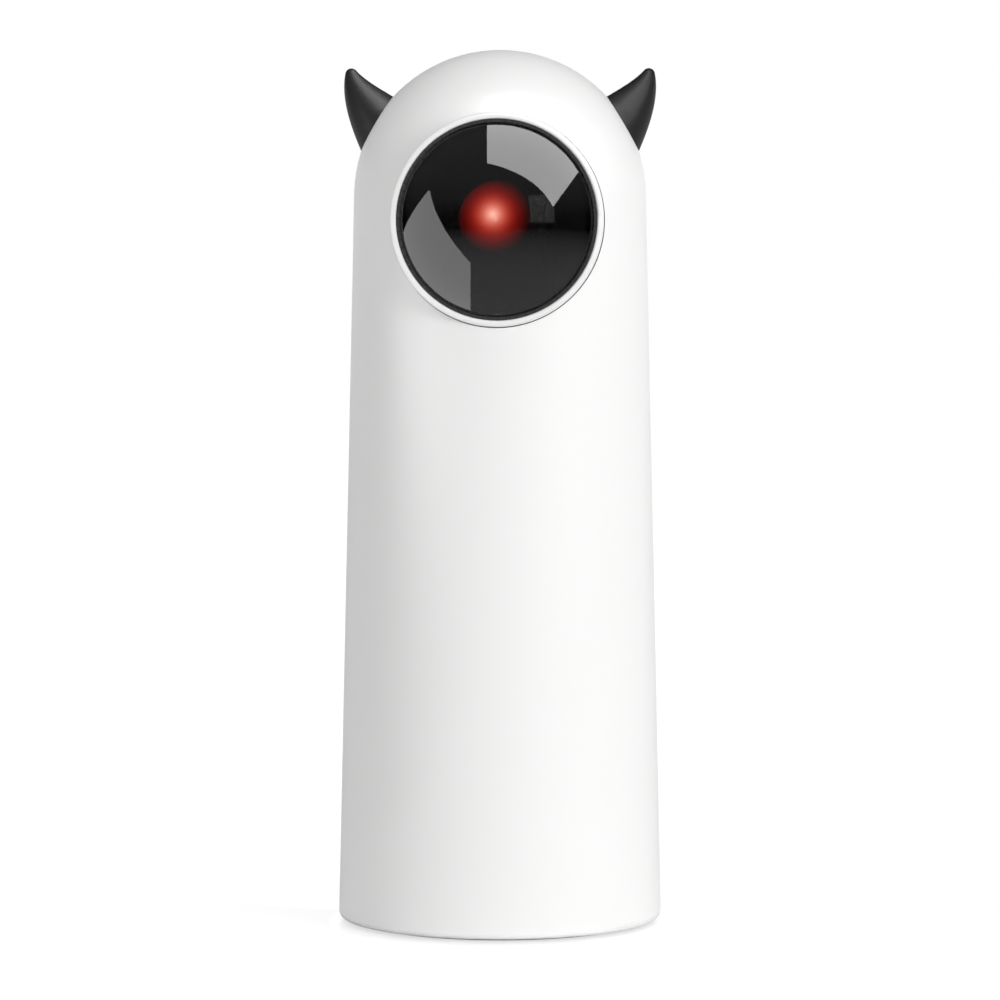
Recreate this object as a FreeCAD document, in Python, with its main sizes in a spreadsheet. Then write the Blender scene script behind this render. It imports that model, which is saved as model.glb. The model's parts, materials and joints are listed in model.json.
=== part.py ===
import FreeCAD, Part
import math
import os

import Sketcher

# Automatic cat laser toy: a round-topped moulded tower with a domed window, two soft horns,
# a battery bay in its foot and a geared light head that pans and tilts behind the window.
# Front is -Y, up is +Z, the origin is on the floor under the middle of the tower.
# Lengths are millimetres and angles are degrees.

os.makedirs("parts", exist_ok=True)
doc = FreeCAD.newDocument("cat_laser_toy")
vector = FreeCAD.Vector
pieces = {}

# Driving sizes: alias, value, meaning.
DRIVING = (
    ("dome_radius", 38.0, "outer radius of the round top"),
    ("dome_height", 189.0, "height of the round top's centre"),
    ("wall_draft", 1.3, "lean of the straight wall, widening downwards"),
    ("shell_wall", 2.2, "wall of the outer housing"),
    ("skirt_lift", 0.6, "gap from the floor to the housing's lower edge"),
    ("skirt_round", 1.8, "rounding of the housing's lower edge"),
    ("eye_drop", 6.4, "window centre below the round top's centre"),
    ("eye_radius", 27.0, "outer radius of the window ring"),
    ("eye_proud", 1.7, "front of the window ring beyond the round top"),
    ("eye_gap", 0.25, "gap from the window ring to the housing"),
    ("ring_lip", 1.7, "window ring beyond the edge of the window"),
    ("lens_rim_width", 0.8, "flat rim round the dome of the window"),
    ("lens_rim_thick", 1.6, "thickness of that flat rim"),
    ("lens_recess", 0.8, "window rim behind the front of its ring"),
    ("lens_curve", 34.0, "outer radius of the window's dome"),
    ("lens_wall", 1.8, "wall of the window's dome"),
    ("lens_fit", 0.05, "clearance round the window"),
    ("ledge_width", 2.1, "reach of the ledge under the window"),
    ("ledge_thick", 1.4, "thickness of that ledge"),
    ("tube_wall", 1.8, "wall of the window tube behind its ledge"),
    ("ring_round", 1.1, "rounding of the window ring's outer edge"),
    ("ring_inner_round", 0.4, "rounding of the window ring's inner edge"),
    ("leg_width", 5.0, "width of a snap leg"),
    ("leg_thick", 1.3, "thickness of a snap leg"),
    ("leg_hook", 1.1, "reach of a snap leg's hook"),
    ("leg_nose", 1.6, "thickness of a snap leg's hook"),
    ("leg_play", 0.2, "play between a hook and the frame ring"),
    ("shroud_wall", 0.8, "wall of the black tube"),
    ("shroud_gap", 0.3, "gap from the black tube to the window tube"),
    ("horn_seat_angle", 29.5, "where a horn's root sits, above the level"),
    ("horn_sink", 5.3, "start of a horn's centre line under the dome"),
    ("horn_length", 19.6, "length of a horn's centre line"),
    ("horn_root_radius", 9.1, "radius of a horn at its root"),
    ("horn_tip_radius", 1.4, "radius of a horn at its tip"),
    ("horn_belly", 0.6, "fullness of a horn at mid length"),
    ("horn_axis_rise", 1.0, "a horn's neck steeper than its seat"),
    ("horn_overlap", 1.0, "overlap of a horn's neck and plug with what they join"),
    ("horn_lean", 50.0, "lean of a horn at its root, from the level"),
    ("horn_curl", 22.0, "further lean of a horn at its tip"),
    ("neck_radius", 3.4, "radius of a horn's neck through the dome"),
    ("neck_gap", 0.1, "clearance round a horn's neck"),
    ("plug_radius", 5.2, "radius of a horn's plug inside the dome"),
    ("plug_thick", 1.8, "thickness of a horn's plug"),
    ("plate_lift", 1.4, "underside of the base plate above the floor"),
    ("plate_thick", 3.0, "thickness of the base plate"),
    ("plate_gap", 0.25, "clearance of the base plate in the housing"),
    ("foot_margin", 1.5, "foot ring in from the edge of the base plate"),
    ("foot_width", 3.0, "width of the foot ring"),
    ("foot_seat", 1.0, "depth of the foot ring's groove"),
    ("foot_fit", 0.1, "clearance of the foot ring in its groove"),
    ("foot_round", 0.5, "rounding of the foot ring"),
    ("base_screw_reach", 28.0, "base screws from the tower's axis"),
    ("base_screw_radius", 1.4, "radius of a base screw's shank"),
    ("base_screw_length", 11.0, "length of a base screw's shank"),
    ("base_head_radius", 2.7, "radius of a base screw's head"),
    ("base_head_thick", 1.1, "thickness of a base screw's head"),
    ("screw_fit", 0.05, "clearance of a screw in its pilot hole"),
    ("screw_end", 0.3, "room beyond a screw's end"),
    ("base_head_sink", 0.1, "a base screw's head above the base plate's underside"),
    ("head_fit", 0.3, "clearance round a screw head"),
    ("boss_wall", 2.0, "wall of a screw boss"),
    ("boss_height", 16.0, "height of a housing boss"),
    ("rib_thick", 1.6, "thickness of a boss rib"),
    ("cell_radius", 7.15, "radius of a battery cell"),
    ("cell_length", 50.5, "length of a battery cell with its button"),
    ("cell_button_radius", 2.75, "radius of a cell's button"),
    ("cell_button", 1.1, "height of a cell's button"),
    ("cell_play", 0.5, "clearance round a cell"),
    ("cell_pitch", 16.5, "distance between neighbouring cells"),
    ("bay_wall", 1.6, "wall of the battery bay"),
    ("bay_back", 5.0, "middle of the battery bay behind the axis"),
    ("bay_round", 7.0, "corner rounding of the battery bay"),
    ("bay_roof", 2.0, "roof of the battery bay"),
    ("spring_room", 3.8, "room over the cells for their springs"),
    ("strip_thick", 0.3, "thickness of the contact metal"),
    ("strip_width", 6.0, "width of a contact"),
    ("strip_gap", 0.2, "gap from the lid's contacts to the cells"),
    ("leaf_fold", 2.0, "upper fold of a leaf contact from its middle"),
    ("leaf_heel", 1.5, "lower fold of a leaf contact from its middle"),
    ("door_half_length", 26.5, "half the length of the battery door"),
    ("door_half_width", 10.0, "half the width of the battery door"),
    ("door_thick", 1.8, "thickness of the battery door"),
    ("door_gap", 0.3, "gap round the battery door"),
    ("knuckle_offset", 1.4, "hinge line beyond the end of the door"),
    ("knuckle_inner", 3.0, "start of a hinge knuckle from the door's middle"),
    ("knuckle_outer", 6.5, "end of a hinge knuckle from the door's middle"),
    ("door_pin_radius", 0.45, "radius of the door's hinge pin"),
    ("door_pin_half", 8.2, "half the length of the door's hinge pin"),
    ("tongue_width", 9.0, "width of the door's snap tongue"),
    ("tongue_length", 7.0, "length of the door's snap tongue"),
    ("tongue_slit", 0.8, "slit beside the door's snap tongue"),
    ("fit", 0.05, "running clearance of a shaft in its bore"),
    ("board_gap", 11.2, "front face of the main board from the housing's wall at the inlet"),
    ("board_thick", 1.6, "thickness of the main board"),
    ("board_half_width", 17.8, "half the width of the main board"),
    ("board_low", 8.0, "lower edge of the main board"),
    ("board_high", 62.0, "upper edge of the main board"),
    ("board_round", 1.5, "corner rounding of the main board"),
    ("chip_half", 3.5, "half the width of the controller chip"),
    ("chip_thick", 1.4, "thickness of the controller chip"),
    ("can_radius", 2.5, "radius of a capacitor"),
    ("can_height", 5.5, "height of a capacitor"),
    ("can_spread", 11.0, "capacitors from the board's middle"),
    ("can_drop", 14.0, "capacitors below the controller chip"),
    ("header_near", 4.0, "near end of a plug header from the board's middle"),
    ("header_far", 13.0, "far end of a plug header from the board's middle"),
    ("header_drop", 3.0, "plug headers below the board's upper edge"),
    ("header_width", 4.0, "width of a plug header"),
    ("header_height", 4.5, "height of a plug header"),
    ("rail_height", 38.0, "height of the rails that hold the board"),
    ("rail_wall", 1.8, "wall of a rail"),
    ("rail_grip", 1.0, "depth of a rail's slot"),
    ("rail_fit", 0.1, "clearance of the board in its rails"),
    ("port_height", 20.0, "height of the power inlet"),
    ("port_half_width", 4.5, "half the width of the power inlet"),
    ("port_half_height", 1.6, "half the height of the power inlet"),
    ("port_round", 1.2, "corner rounding of the power inlet"),
    ("port_tongue_half", 3.3, "half the width of the power inlet's tongue"),
    ("port_tongue_drop", 0.6, "tongue behind the mouth of the power inlet"),
    ("port_wall", 0.35, "wall of the power inlet's shell"),
    ("port_reach", 0.7, "power inlet behind the housing's outer face"),
    ("port_depth", 7.0, "depth of the power inlet"),
    ("port_gap", 0.3, "gap round the power inlet"),
    ("button_height", 46.0, "height of the power button"),
    ("button_radius", 5.0, "radius of the power button"),
    ("button_proud", 1.1, "power button proud of the housing"),
    ("button_gap", 0.3, "gap round the power button"),
    ("button_flange", 1.6, "flange of the power button beyond its cap"),
    ("button_flange_thick", 1.4, "thickness of that flange"),
    ("button_dish", 0.5, "depth of the dish in the button's face"),
    ("button_edge_round", 0.5, "rounding of the button's edge"),
    ("button_rim", 1.0, "flat rim round the dish in the button's face"),
    ("button_sleeve", 0.8, "wall of the button's neck beyond the switch stem"),
    ("button_travel", 0.8, "travel of the power button"),
    ("switch_half", 3.0, "half the width of the switch body"),
    ("switch_thick", 3.4, "height of the switch body"),
    ("stem_radius", 1.75, "radius of the switch stem"),
    ("stem_reach", 1.5, "switch stem out of its body"),
    ("stem_seat", 0.5, "switch stem inside its body"),
    ("stem_room", 0.2, "room behind the pressed switch stem"),
    ("foot_plate_thick", 2.4, "thickness of the frame's foot plate"),
    ("foot_plate_half", 16.0, "half the width of the frame's foot plate"),
    ("frame_wall", 2.0, "wall of the frame's column"),
    ("column_half", 14.0, "half the width of the frame's column"),
    ("column_front", 3.0, "front of the column's side walls"),
    ("column_back", 21.0, "back of the column"),
    ("frame_screw_radius", 1.1, "radius of a frame screw's shank"),
    ("frame_screw_length", 9.0, "length of a frame screw's shank"),
    ("frame_head_radius", 2.1, "radius of a frame screw's head"),
    ("frame_head_thick", 1.4, "thickness of a frame screw's head"),
    ("frame_screw_spread", 6.2, "frame screws from the middle of the bay"),
    ("window_width", 13.0, "width of a window in the column"),
    ("window_height", 17.0, "height of a window in the column"),
    ("window_round", 4.0, "corner rounding of a window in the column"),
    ("window_pitch", 26.0, "distance between the column's windows"),
    ("shelf_thick", 2.5, "thickness of the frame's shelf"),
    ("shelf_half", 15.0, "half the width of the frame's shelf"),
    ("shelf_drop", 23.8, "top of the shelf below the window's centre"),
    ("gusset_drop", 19.0, "height of the gusset under the shelf"),
    ("ring_plate_gap", 1.2, "gap from the frame's ring plate to the housing's wall"),
    ("ring_plate_thick", 2.0, "thickness of the frame's ring plate"),
    ("ring_plate_lip", 0.6, "frame's ring plate beyond the window ring"),
    ("ring_foot_rise", 1.5, "foot of the ring plate above the shelf"),
    ("ring_plate_width", 3.6, "width of the frame's ring plate round its opening"),
    ("pan_forward", 6.0, "pan axis ahead of the tower's axis"),
    ("pivot_radius", 3.0, "radius of the fork's pivot"),
    ("pivot_wall", 1.4, "wall of the boss round the pivot's bore"),
    ("pivot_boss_drop", 6.0, "boss below the shelf"),
    ("pivot_stand", 0.4, "pivot out of its boss"),
    ("washer_thick", 0.5, "thickness of the thrust and end washers"),
    ("washer_radius", 5.4, "radius of the thrust washer"),
    ("lift_gap", 0.1, "play between the fork and its thrust washer"),
    ("pivot_screw_radius", 1.2, "radius of the pivot screw"),
    ("pivot_screw_length", 6.5, "length of the pivot screw in the fork"),
    ("pivot_head_radius", 2.4, "radius of the pivot screw's head"),
    ("pivot_head_thick", 1.6, "thickness of the pivot screw's head"),
    ("tooth_size", 0.6, "gear module, the pitch diameter for each tooth"),
    ("pressure_angle", 25.0, "pressure angle of the teeth"),
    ("wheel_teeth", 36, "teeth of a full gear wheel"),
    ("pinion_teeth", 12, "teeth of a pinion"),
    ("backlash", 0.13, "play between meshed teeth"),
    ("gear_thick", 2.0, "thickness of the pan gear"),
    ("gear_hub", 4.0, "radius of the hub under the pan gear"),
    ("gear_lift", 0.4, "pan gear above the thrust washer"),
    ("pinion_thick", 1.7, "thickness of a pinion"),
    ("motor_gap", 0.4, "gap from the pan motor to the pivot's boss"),
    ("pan_motor_length", 16.0, "length of the pan motor"),
    ("pan_motor_boss", 3.0, "radius of the pan motor's nose"),
    ("pan_motor_round", 1.0, "rounding of the pan motor's end"),
    ("pan_nose_drop", 0.3, "pan motor's nose below the top of the shelf"),
    ("pan_shaft_seat", 4.0, "end of the shaft's bore in the pan motor"),
    ("shaft_end", 0.2, "room beyond a shaft's end"),
    ("pan_shaft_radius", 1.0, "radius of the pan motor's shaft"),
    ("motor_screw_spread", 7.5, "pan motor's screws from its shaft"),
    ("motor_screw_radius", 0.8, "radius of a motor screw"),
    ("motor_head_radius", 1.5, "radius of a motor screw's head"),
    ("motor_head_thick", 0.9, "thickness of a motor screw's head"),
    ("motor_screw_bite", 3.0, "length of a screw in its motor"),
    ("fork_thick", 2.5, "thickness of the fork's arms and floor"),
    ("fork_inner", 12.0, "inner face of a fork arm from the middle"),
    ("fork_half_depth", 5.0, "half the depth of a fork arm"),
    ("plate_round", 2.0, "corner rounding of the fork's motor plate"),
    ("trunnion_radius", 1.5, "radius of the light head's trunnions"),
    ("trunnion_boss", 4.2, "radius of the boss round a trunnion"),
    ("trunnion_root", 0.4, "start of a trunnion boss in the light head's wall"),
    ("trunnion_end", 0.2, "end of a trunnion inside its fork arm"),
    ("trunnion_gap", 0.3, "gap from the light head's boss to a fork arm"),
    ("tilt_motor_radius", 5.0, "radius of the tilt motor"),
    ("tilt_motor_length", 10.0, "length of the tilt motor"),
    ("tilt_shaft_radius", 0.75, "radius of the tilt motor's shaft"),
    ("tilt_cap_radius", 3.0, "radius of the tilt motor's end cap"),
    ("tilt_cap_thick", 0.6, "thickness of the tilt motor's end cap"),
    ("ear_spread", 6.6, "tilt motor's screws from its shaft"),
    ("ear_thick", 0.8, "thickness of the tilt motor's ears"),
    ("ear_radius", 1.8, "radius of the tilt motor's ears"),
    ("sector_teeth", 9, "teeth on the light head's sector"),
    ("sector_inner", 9.6, "inner face of the toothed sector from the middle"),
    ("sector_thick", 2.0, "thickness of the toothed sector"),
    ("barrel_reach", 18.0, "front of the light head ahead of its axis"),
    ("barrel_back", 9.5, "back of the light head behind its axis"),
    ("barrel_radius", 10.0, "radius of the light head's front"),
    ("barrel_waist", 9.2, "radius of the light head behind its front"),
    ("barrel_lip", 3.6, "length of the light head's front"),
    ("barrel_bore", 7.8, "bore of the light head"),
    ("barrel_step", 0.2, "wider bore of the light head behind its step"),
    ("disc_fit", 0.1, "clearance of the emitter's board and the cap in that bore"),
    ("beam_lens_radius", 8.7, "radius of the light head's lens"),
    ("beam_lens_thick", 2.2, "edge thickness of the light head's lens"),
    ("beam_lens_crown", 1.3, "crown of the light head's lens"),
    ("emitter_back", 4.0, "front of the emitter's board behind the tilt axis"),
    ("emitter_thick", 1.2, "thickness of the emitter's board"),
    ("emitter_radius", 2.4, "radius of the emitter"),
    ("cap_thick", 2.0, "thickness of the light head's rear cap"),
    ("cap_round", 0.6, "rounding of the light head's rear cap"),
    ("lead_hole", 1.6, "radius of the wire hole in the rear cap"),
)


# The sheet of driving sizes.
sheet = doc.addObject("Spreadsheet::Sheet", "sizes")
for line, (alias, value, meaning) in enumerate(DRIVING, start=1):
    sheet.set("A%d" % line, meaning)
    sheet.set("B%d" % line, str(value))
    sheet.setAlias("B%d" % line, alias)
doc.recompute()


class Size(float):
    """A number that remembers the expression over the sheet that it comes from."""

    def __new__(cls, value, formula):
        made = float.__new__(cls, value)
        made.formula = formula
        return made

    def __add__(self, other):
        return Size(float(self) + float(other), "(%s + %s)" % (text(self), text(other)))

    def __radd__(self, other):
        return Size(float(other) + float(self), "(%s + %s)" % (text(other), text(self)))

    def __sub__(self, other):
        return Size(float(self) - float(other), "(%s - %s)" % (text(self), text(other)))

    def __rsub__(self, other):
        return Size(float(other) - float(self), "(%s - %s)" % (text(other), text(self)))

    def __mul__(self, other):
        return Size(float(self) * float(other), "(%s * %s)" % (text(self), text(other)))

    def __rmul__(self, other):
        return Size(float(other) * float(self), "(%s * %s)" % (text(other), text(self)))

    def __truediv__(self, other):
        return Size(float(self) / float(other), "(%s / %s)" % (text(self), text(other)))

    def __rtruediv__(self, other):
        return Size(float(other) / float(self), "(%s / %s)" % (text(other), text(self)))

    def __neg__(self):
        return Size(-float(self), "(-%s)" % text(self))


def text(value):
    """The expression text of a size or a plain number."""
    if isinstance(value, Size):
        return value.formula
    return repr(float(value))


def of_angle(function, name, angle):
    """A trigonometric function of an angle in degrees."""
    return Size(function(math.radians(float(angle))), "%s(%s)" % (name, text(angle)))


def sine(angle):
    return of_angle(math.sin, "sin", angle)


def cosine(angle):
    return of_angle(math.cos, "cos", angle)


def tangent(angle):
    return of_angle(math.tan, "tan", angle)


def root(value):
    return Size(math.sqrt(float(value)), "sqrt(%s)" % text(value))


class Sizes:
    """Every driving size by its alias."""

    def __init__(self):
        for alias, value, meaning in DRIVING:
            setattr(self, alias, Size(float(sheet.get(alias)), "sizes." + alias))


size = Sizes()


# Drawing helpers: closed shapes for sketches.
def bind(sketch, kind, *details):
    """Adds a constraint with its true value and ties it to the sheet."""
    value = details[-1]
    index = sketch.addConstraint(Sketcher.Constraint(kind, *details[:-1], float(value)))
    if isinstance(value, Size):
        sketch.setExpression("Constraints[%d]" % index, value.formula)


def circle(across, up, radius):
    def draw(sketch):
        centre = vector(across, up, 0)
        shape = sketch.addGeometry(Part.Circle(centre, vector(0, 0, 1), float(radius)))
        bind(sketch, "DistanceX", shape, 3, across)
        bind(sketch, "DistanceY", shape, 3, up)
        bind(sketch, "Radius", shape, radius)
    return draw


def bent_edge(sketch, start, stop, bend):
    """An arc between two points, its centre on the left of the way for a positive radius."""
    radius = abs(float(bend))
    half = (stop - start) * 0.5
    lift = math.sqrt(max(radius * radius - half.Length ** 2, 0.0))
    left = vector(-half.y, half.x, 0).normalize()
    centre = start + half + left * math.copysign(lift, float(bend))
    first, last = (start, stop) if bend > 0 else (stop, start)
    begin = math.atan2(first.y - centre.y, first.x - centre.x)
    end = math.atan2(last.y - centre.y, last.x - centre.x)
    if end < begin:
        end += 2 * math.pi
    whole = Part.Circle(centre, vector(0, 0, 1), radius)
    shape = sketch.addGeometry(Part.ArcOfCircle(whole, begin, end))
    bind(sketch, "Radius", shape, bend if bend > 0 else -bend)
    return (shape, 1, 2) if bend > 0 else (shape, 2, 1)


def outline(*corners):
    """A closed outline; a corner's third value is the radius of the arc that ends there."""
    def draw(sketch):
        edges = []
        for index, corner in enumerate(corners):
            start = vector(corners[index - 1][0], corners[index - 1][1], 0)
            stop = vector(corner[0], corner[1], 0)
            if len(corner) > 2:
                edges.append(bent_edge(sketch, start, stop, corner[2]))
            else:
                edges.append((sketch.addGeometry(Part.LineSegment(start, stop)), 1, 2))
        for index, corner in enumerate(corners):
            shape, begin, end = edges[index]
            following, its_begin = edges[(index + 1) % len(corners)][:2]
            sketch.addConstraint(Sketcher.Constraint("Coincident", shape, end, following, its_begin))
            bind(sketch, "DistanceX", shape, end, corner[0])
            bind(sketch, "DistanceY", shape, end, corner[1])
    return draw


def block(left, right, low, high):
    return outline((left, low), (right, low), (right, high), (left, high))


def rounded(left, right, low, high, radius):
    return outline(
        (left + radius, low, radius), (right - radius, low),
        (right, low + radius, radius), (right, high - radius),
        (right - radius, high, radius), (left + radius, high),
        (left, high - radius, radius), (left, low + radius))


# Modelling helpers: features on a body.
def new_body(name):
    made = doc.addObject("PartDesign::Body", name)
    made.Label = name
    pieces[name] = made
    return made


def new_sketch(body, plane, name, at=(0, 0, 0), turn=0):
    """A sketch on an origin plane, shifted in the plane and along its normal, then turned."""
    sketch = body.newObject("Sketcher::SketchObject", name)
    support = [f for f in body.Origin.OriginFeatures if f.Role == plane + "_Plane"][0]
    sketch.AttachmentSupport = (support, [""])
    sketch.MapMode = "FlatFace"
    spin = FreeCAD.Rotation(vector(0, 0, 1), float(turn))
    sketch.AttachmentOffset = FreeCAD.Placement(vector(*[float(v) for v in at]), spin)
    for letter, value in zip("xyz", at):
        if isinstance(value, Size):
            sketch.setExpression("AttachmentOffset.Base." + letter, value.formula)
    if isinstance(turn, Size):
        sketch.setExpression("AttachmentOffset.Rotation.Angle", turn.formula)
    return sketch


def set_length(feature, value):
    feature.Length = float(value)
    if isinstance(value, Size):
        feature.setExpression("Length", value.formula)


def grow(body, name, plane, low, high, *shapes, at=(0, 0), turn=0):
    """Adds shapes between two coordinates along the axis that is square to the plane."""
    level = -high if plane == "XZ" else low
    sketch = new_sketch(body, plane, name + "_sketch", (at[0], at[1], level), turn)
    for shape in shapes:
        shape(sketch)
    feature = body.newObject("PartDesign::Pad", name)
    feature.Profile = sketch
    set_length(feature, high - low)
    return feature


def cut(body, name, plane, low, high, *shapes, at=(0, 0), turn=0):
    """Removes shapes between two coordinates along the axis that is square to the plane."""
    level = -low if plane == "XZ" else high
    sketch = new_sketch(body, plane, name + "_sketch", (at[0], at[1], level), turn)
    for shape in shapes:
        shape(sketch)
    feature = body.newObject("PartDesign::Pocket", name)
    feature.Profile = sketch
    feature.Type = "Length"
    set_length(feature, high - low)
    return feature


def spin_shape(body, kind, name, plane, axis, at, turn, shapes):
    sketch = new_sketch(body, plane, name + "_sketch", at, turn)
    for shape in shapes:
        shape(sketch)
    feature = body.newObject(kind, name)
    feature.Profile = sketch
    feature.ReferenceAxis = (sketch, [axis])
    feature.Angle = 360
    return feature


def revolve(body, name, plane, axis, *shapes, at=(0, 0, 0), turn=0):
    return spin_shape(body, "PartDesign::Revolution", name, plane, axis, at, turn, shapes)


def groove(body, name, plane, axis, *shapes, at=(0, 0, 0), turn=0):
    return spin_shape(body, "PartDesign::Groove", name, plane, axis, at, turn, shapes)


def repeat_round(body, name, features, count, angle=360):
    """Repeats features round the normal through the first one's sketch origin."""
    pattern = body.newObject("PartDesign::PolarPattern", name)
    pattern.Originals = features
    pattern.Axis = (features[0].Profile[0], ["N_Axis"])
    pattern.Angle = angle
    pattern.Occurrences = count
    body.Tip = pattern
    return pattern


def repeat_line(body, name, features, axis, length, count):
    """Repeats features along an axis of the first one's sketch."""
    pattern = body.newObject("PartDesign::LinearPattern", name)
    pattern.Originals = features
    pattern.Direction = (features[0].Profile[0], [axis])
    set_length(pattern, length)
    pattern.Occurrences = count
    body.Tip = pattern
    return pattern


def soften(body, name, radius, wanted):
    """Rounds the edges of the body so far that the test picks."""
    doc.recompute()
    base = body.Tip
    edges = base.Shape.Edges
    picked = ["Edge%d" % number for number, edge in enumerate(edges, start=1) if wanted(edge)]
    feature = body.newObject("PartDesign::Fillet", name)
    feature.Base = (base, picked)
    feature.Radius = float(radius)
    if isinstance(radius, Size):
        feature.setExpression("Radius", radius.formula)
    return feature


def near(first, second):
    return abs(float(first) - float(second)) < 0.02


def round_edge_at(axis, place, radius):
    """A test for whole circles of a radius whose plane is at a place along an axis."""
    def wanted(edge):
        if edge.Degenerated or not isinstance(edge.Curve, Part.Circle):
            return False
        if not near(edge.Curve.Radius, radius):
            return False
        return near(getattr(edge.Curve.Center, axis), place)
    return wanted


# The housing's wall, on which most places depend.
inner_dome = size.dome_radius - size.shell_wall
lean = tangent(size.wall_draft)


def wall_inside(height):
    """Inner radius of the straight wall at a height."""
    return inner_dome / cosine(size.wall_draft) + (size.dome_height - height) * lean


def wall_outside(height):
    """Outer radius of the straight wall at a height."""
    return size.dome_radius / cosine(size.wall_draft) + (size.dome_height - height) * lean


# Shared levels and places, each worked out from the driving sizes.
eye_height = size.dome_height - size.eye_drop
ring_front = -(size.dome_radius + size.eye_proud)
lens_rim_radius = size.eye_radius - size.ring_lip
ledge_radius = lens_rim_radius - size.ledge_width
tube_bore = size.eye_radius - size.tube_wall
ring_plate_outer = size.eye_radius + size.ring_plate_lip
ring_plate_bore = ring_plate_outer - size.ring_plate_width
lens_front = ring_front + size.lens_recess
lens_seat = lens_front + size.lens_rim_thick
ledge_back = lens_seat + size.ledge_thick
ring_wall = wall_inside(eye_height)
ring_plate_depth = root(ring_wall * ring_wall - ring_plate_outer * ring_plate_outer)
ring_plate_front = size.ring_plate_gap - ring_plate_depth
ring_plate_back = ring_plate_front + size.ring_plate_thick
plate_top = size.plate_lift + size.plate_thick
door_top = size.plate_lift + size.door_thick
door_ceiling = door_top + size.door_gap
strip_top = door_top + size.strip_thick
cell_low = strip_top + size.strip_gap
cell_high = cell_low + size.cell_length
bay_ceiling = cell_high + size.spring_room
bay_top = bay_ceiling + size.bay_roof
bore_radius = size.cell_radius + size.cell_play
bay_half_length = size.cell_pitch + bore_radius + size.bay_wall
bay_half_width = bore_radius + size.bay_wall
foot_outer = wall_inside(plate_top) - size.plate_gap - size.foot_margin
foot_inner = foot_outer - size.foot_width
board_front = wall_inside(size.port_height) - size.board_gap
board_back = board_front + size.board_thick
shelf_top = eye_height - size.shelf_drop
shelf_low = shelf_top - size.shelf_thick
pan_y = -size.pan_forward
wheel_radius = size.tooth_size * size.wheel_teeth / 2
pinion_radius = size.tooth_size * size.pinion_teeth / 2
gear_distance = wheel_radius + pinion_radius
motor_y = pan_y + gear_distance
pivot_boss = size.pivot_radius + size.pivot_wall
pan_motor_radius = gear_distance - pivot_boss - size.motor_gap
washer_top = shelf_top + size.washer_thick
hub_low = washer_top + size.lift_gap
gear_low = washer_top + size.gear_lift
fork_floor_low = gear_low + size.gear_thick
fork_floor_top = fork_floor_low + size.fork_thick
fork_outer = size.fork_inner + size.fork_thick
pinion_side = size.sector_inner + (size.sector_thick - size.pinion_thick) / 2
frame_pilot = size.frame_screw_radius + size.screw_fit
motor_pilot = size.motor_screw_radius + size.screw_fit
base_head_top = size.plate_lift + size.base_head_thick + size.base_head_sink
hinge_radius = size.door_thick / 2
hinge_x = -(size.door_half_length + size.knuckle_offset)
hinge_z = size.plate_lift + hinge_radius
horn_axis_angle = size.horn_seat_angle + size.horn_axis_rise
frame_screw_places = [(side * size.cell_pitch / 2, size.bay_back + depth * size.frame_screw_spread)
                      for side in (-1, 1) for depth in (-1, 1)]
SCREW_TURN = 45
TILT_TURN = 45
PINION_TURN = TILT_TURN - 90


# Outer housing: one thimble moulding with its eye hole, ports and screw bosses.
def make_outer_housing():
    body = new_body("outer_housing")
    low = size.skirt_lift
    cos_lean = cosine(size.wall_draft)
    sin_lean = sine(size.wall_draft)
    revolve(body, "thimble", "XZ", "V_Axis", outline(
        (wall_outside(low), low),
        (size.dome_radius * cos_lean, size.dome_height + size.dome_radius * sin_lean),
        (0, size.dome_height + size.dome_radius, size.dome_radius),
        (0, size.dome_height + inner_dome),
        (inner_dome * cos_lean, size.dome_height + inner_dome * sin_lean, -inner_dome),
        (wall_inside(low), low)))
    soften(body, "skirt_rounding", size.skirt_round, round_edge_at("z", low, wall_outside(low)))
    cut(body, "eye_hole", "XZ", -size.dome_radius * 2, 0,
        circle(0, eye_height, size.eye_radius + size.eye_gap))
    for name, side in (("right", 1), ("left", -1)):
        groove(body, name + "_horn_hole", "XZ", "V_Axis",
               block(0, size.neck_radius + size.neck_gap, inner_dome / 2, size.dome_radius * 2),
               at=(0, size.dome_height, 0), turn=side * (horn_axis_angle - 90))
    cut(body, "button_hole", "XZ", 0, size.dome_radius * 2,
        circle(0, size.button_height, size.button_radius + size.button_gap))
    slot_half = size.port_half_width + size.port_gap
    slot_rise = size.port_half_height + size.port_gap
    cut(body, "port_slot", "XZ", 0, size.dome_radius * 2,
        rounded(-slot_half, slot_half, -slot_rise, slot_rise, size.port_round + size.port_gap),
        at=(0, size.port_height))
    pilot = size.base_screw_radius + size.screw_fit
    boss_top = plate_top + size.boss_height
    boss = grow(body, "boss", "XY", plate_top, boss_top,
                circle(size.base_screw_reach, 0, pilot + size.boss_wall),
                circle(size.base_screw_reach, 0, pilot), turn=SCREW_TURN)
    rib = grow(body, "rib", "XY", plate_top, boss_top,
               block(size.base_screw_reach + pilot + size.boss_wall / 2,
                     wall_inside(boss_top) + size.shell_wall / 2,
                     -size.rib_thick / 2, size.rib_thick / 2), turn=SCREW_TURN)
    repeat_round(body, "bosses", [boss, rib], 4)


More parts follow.
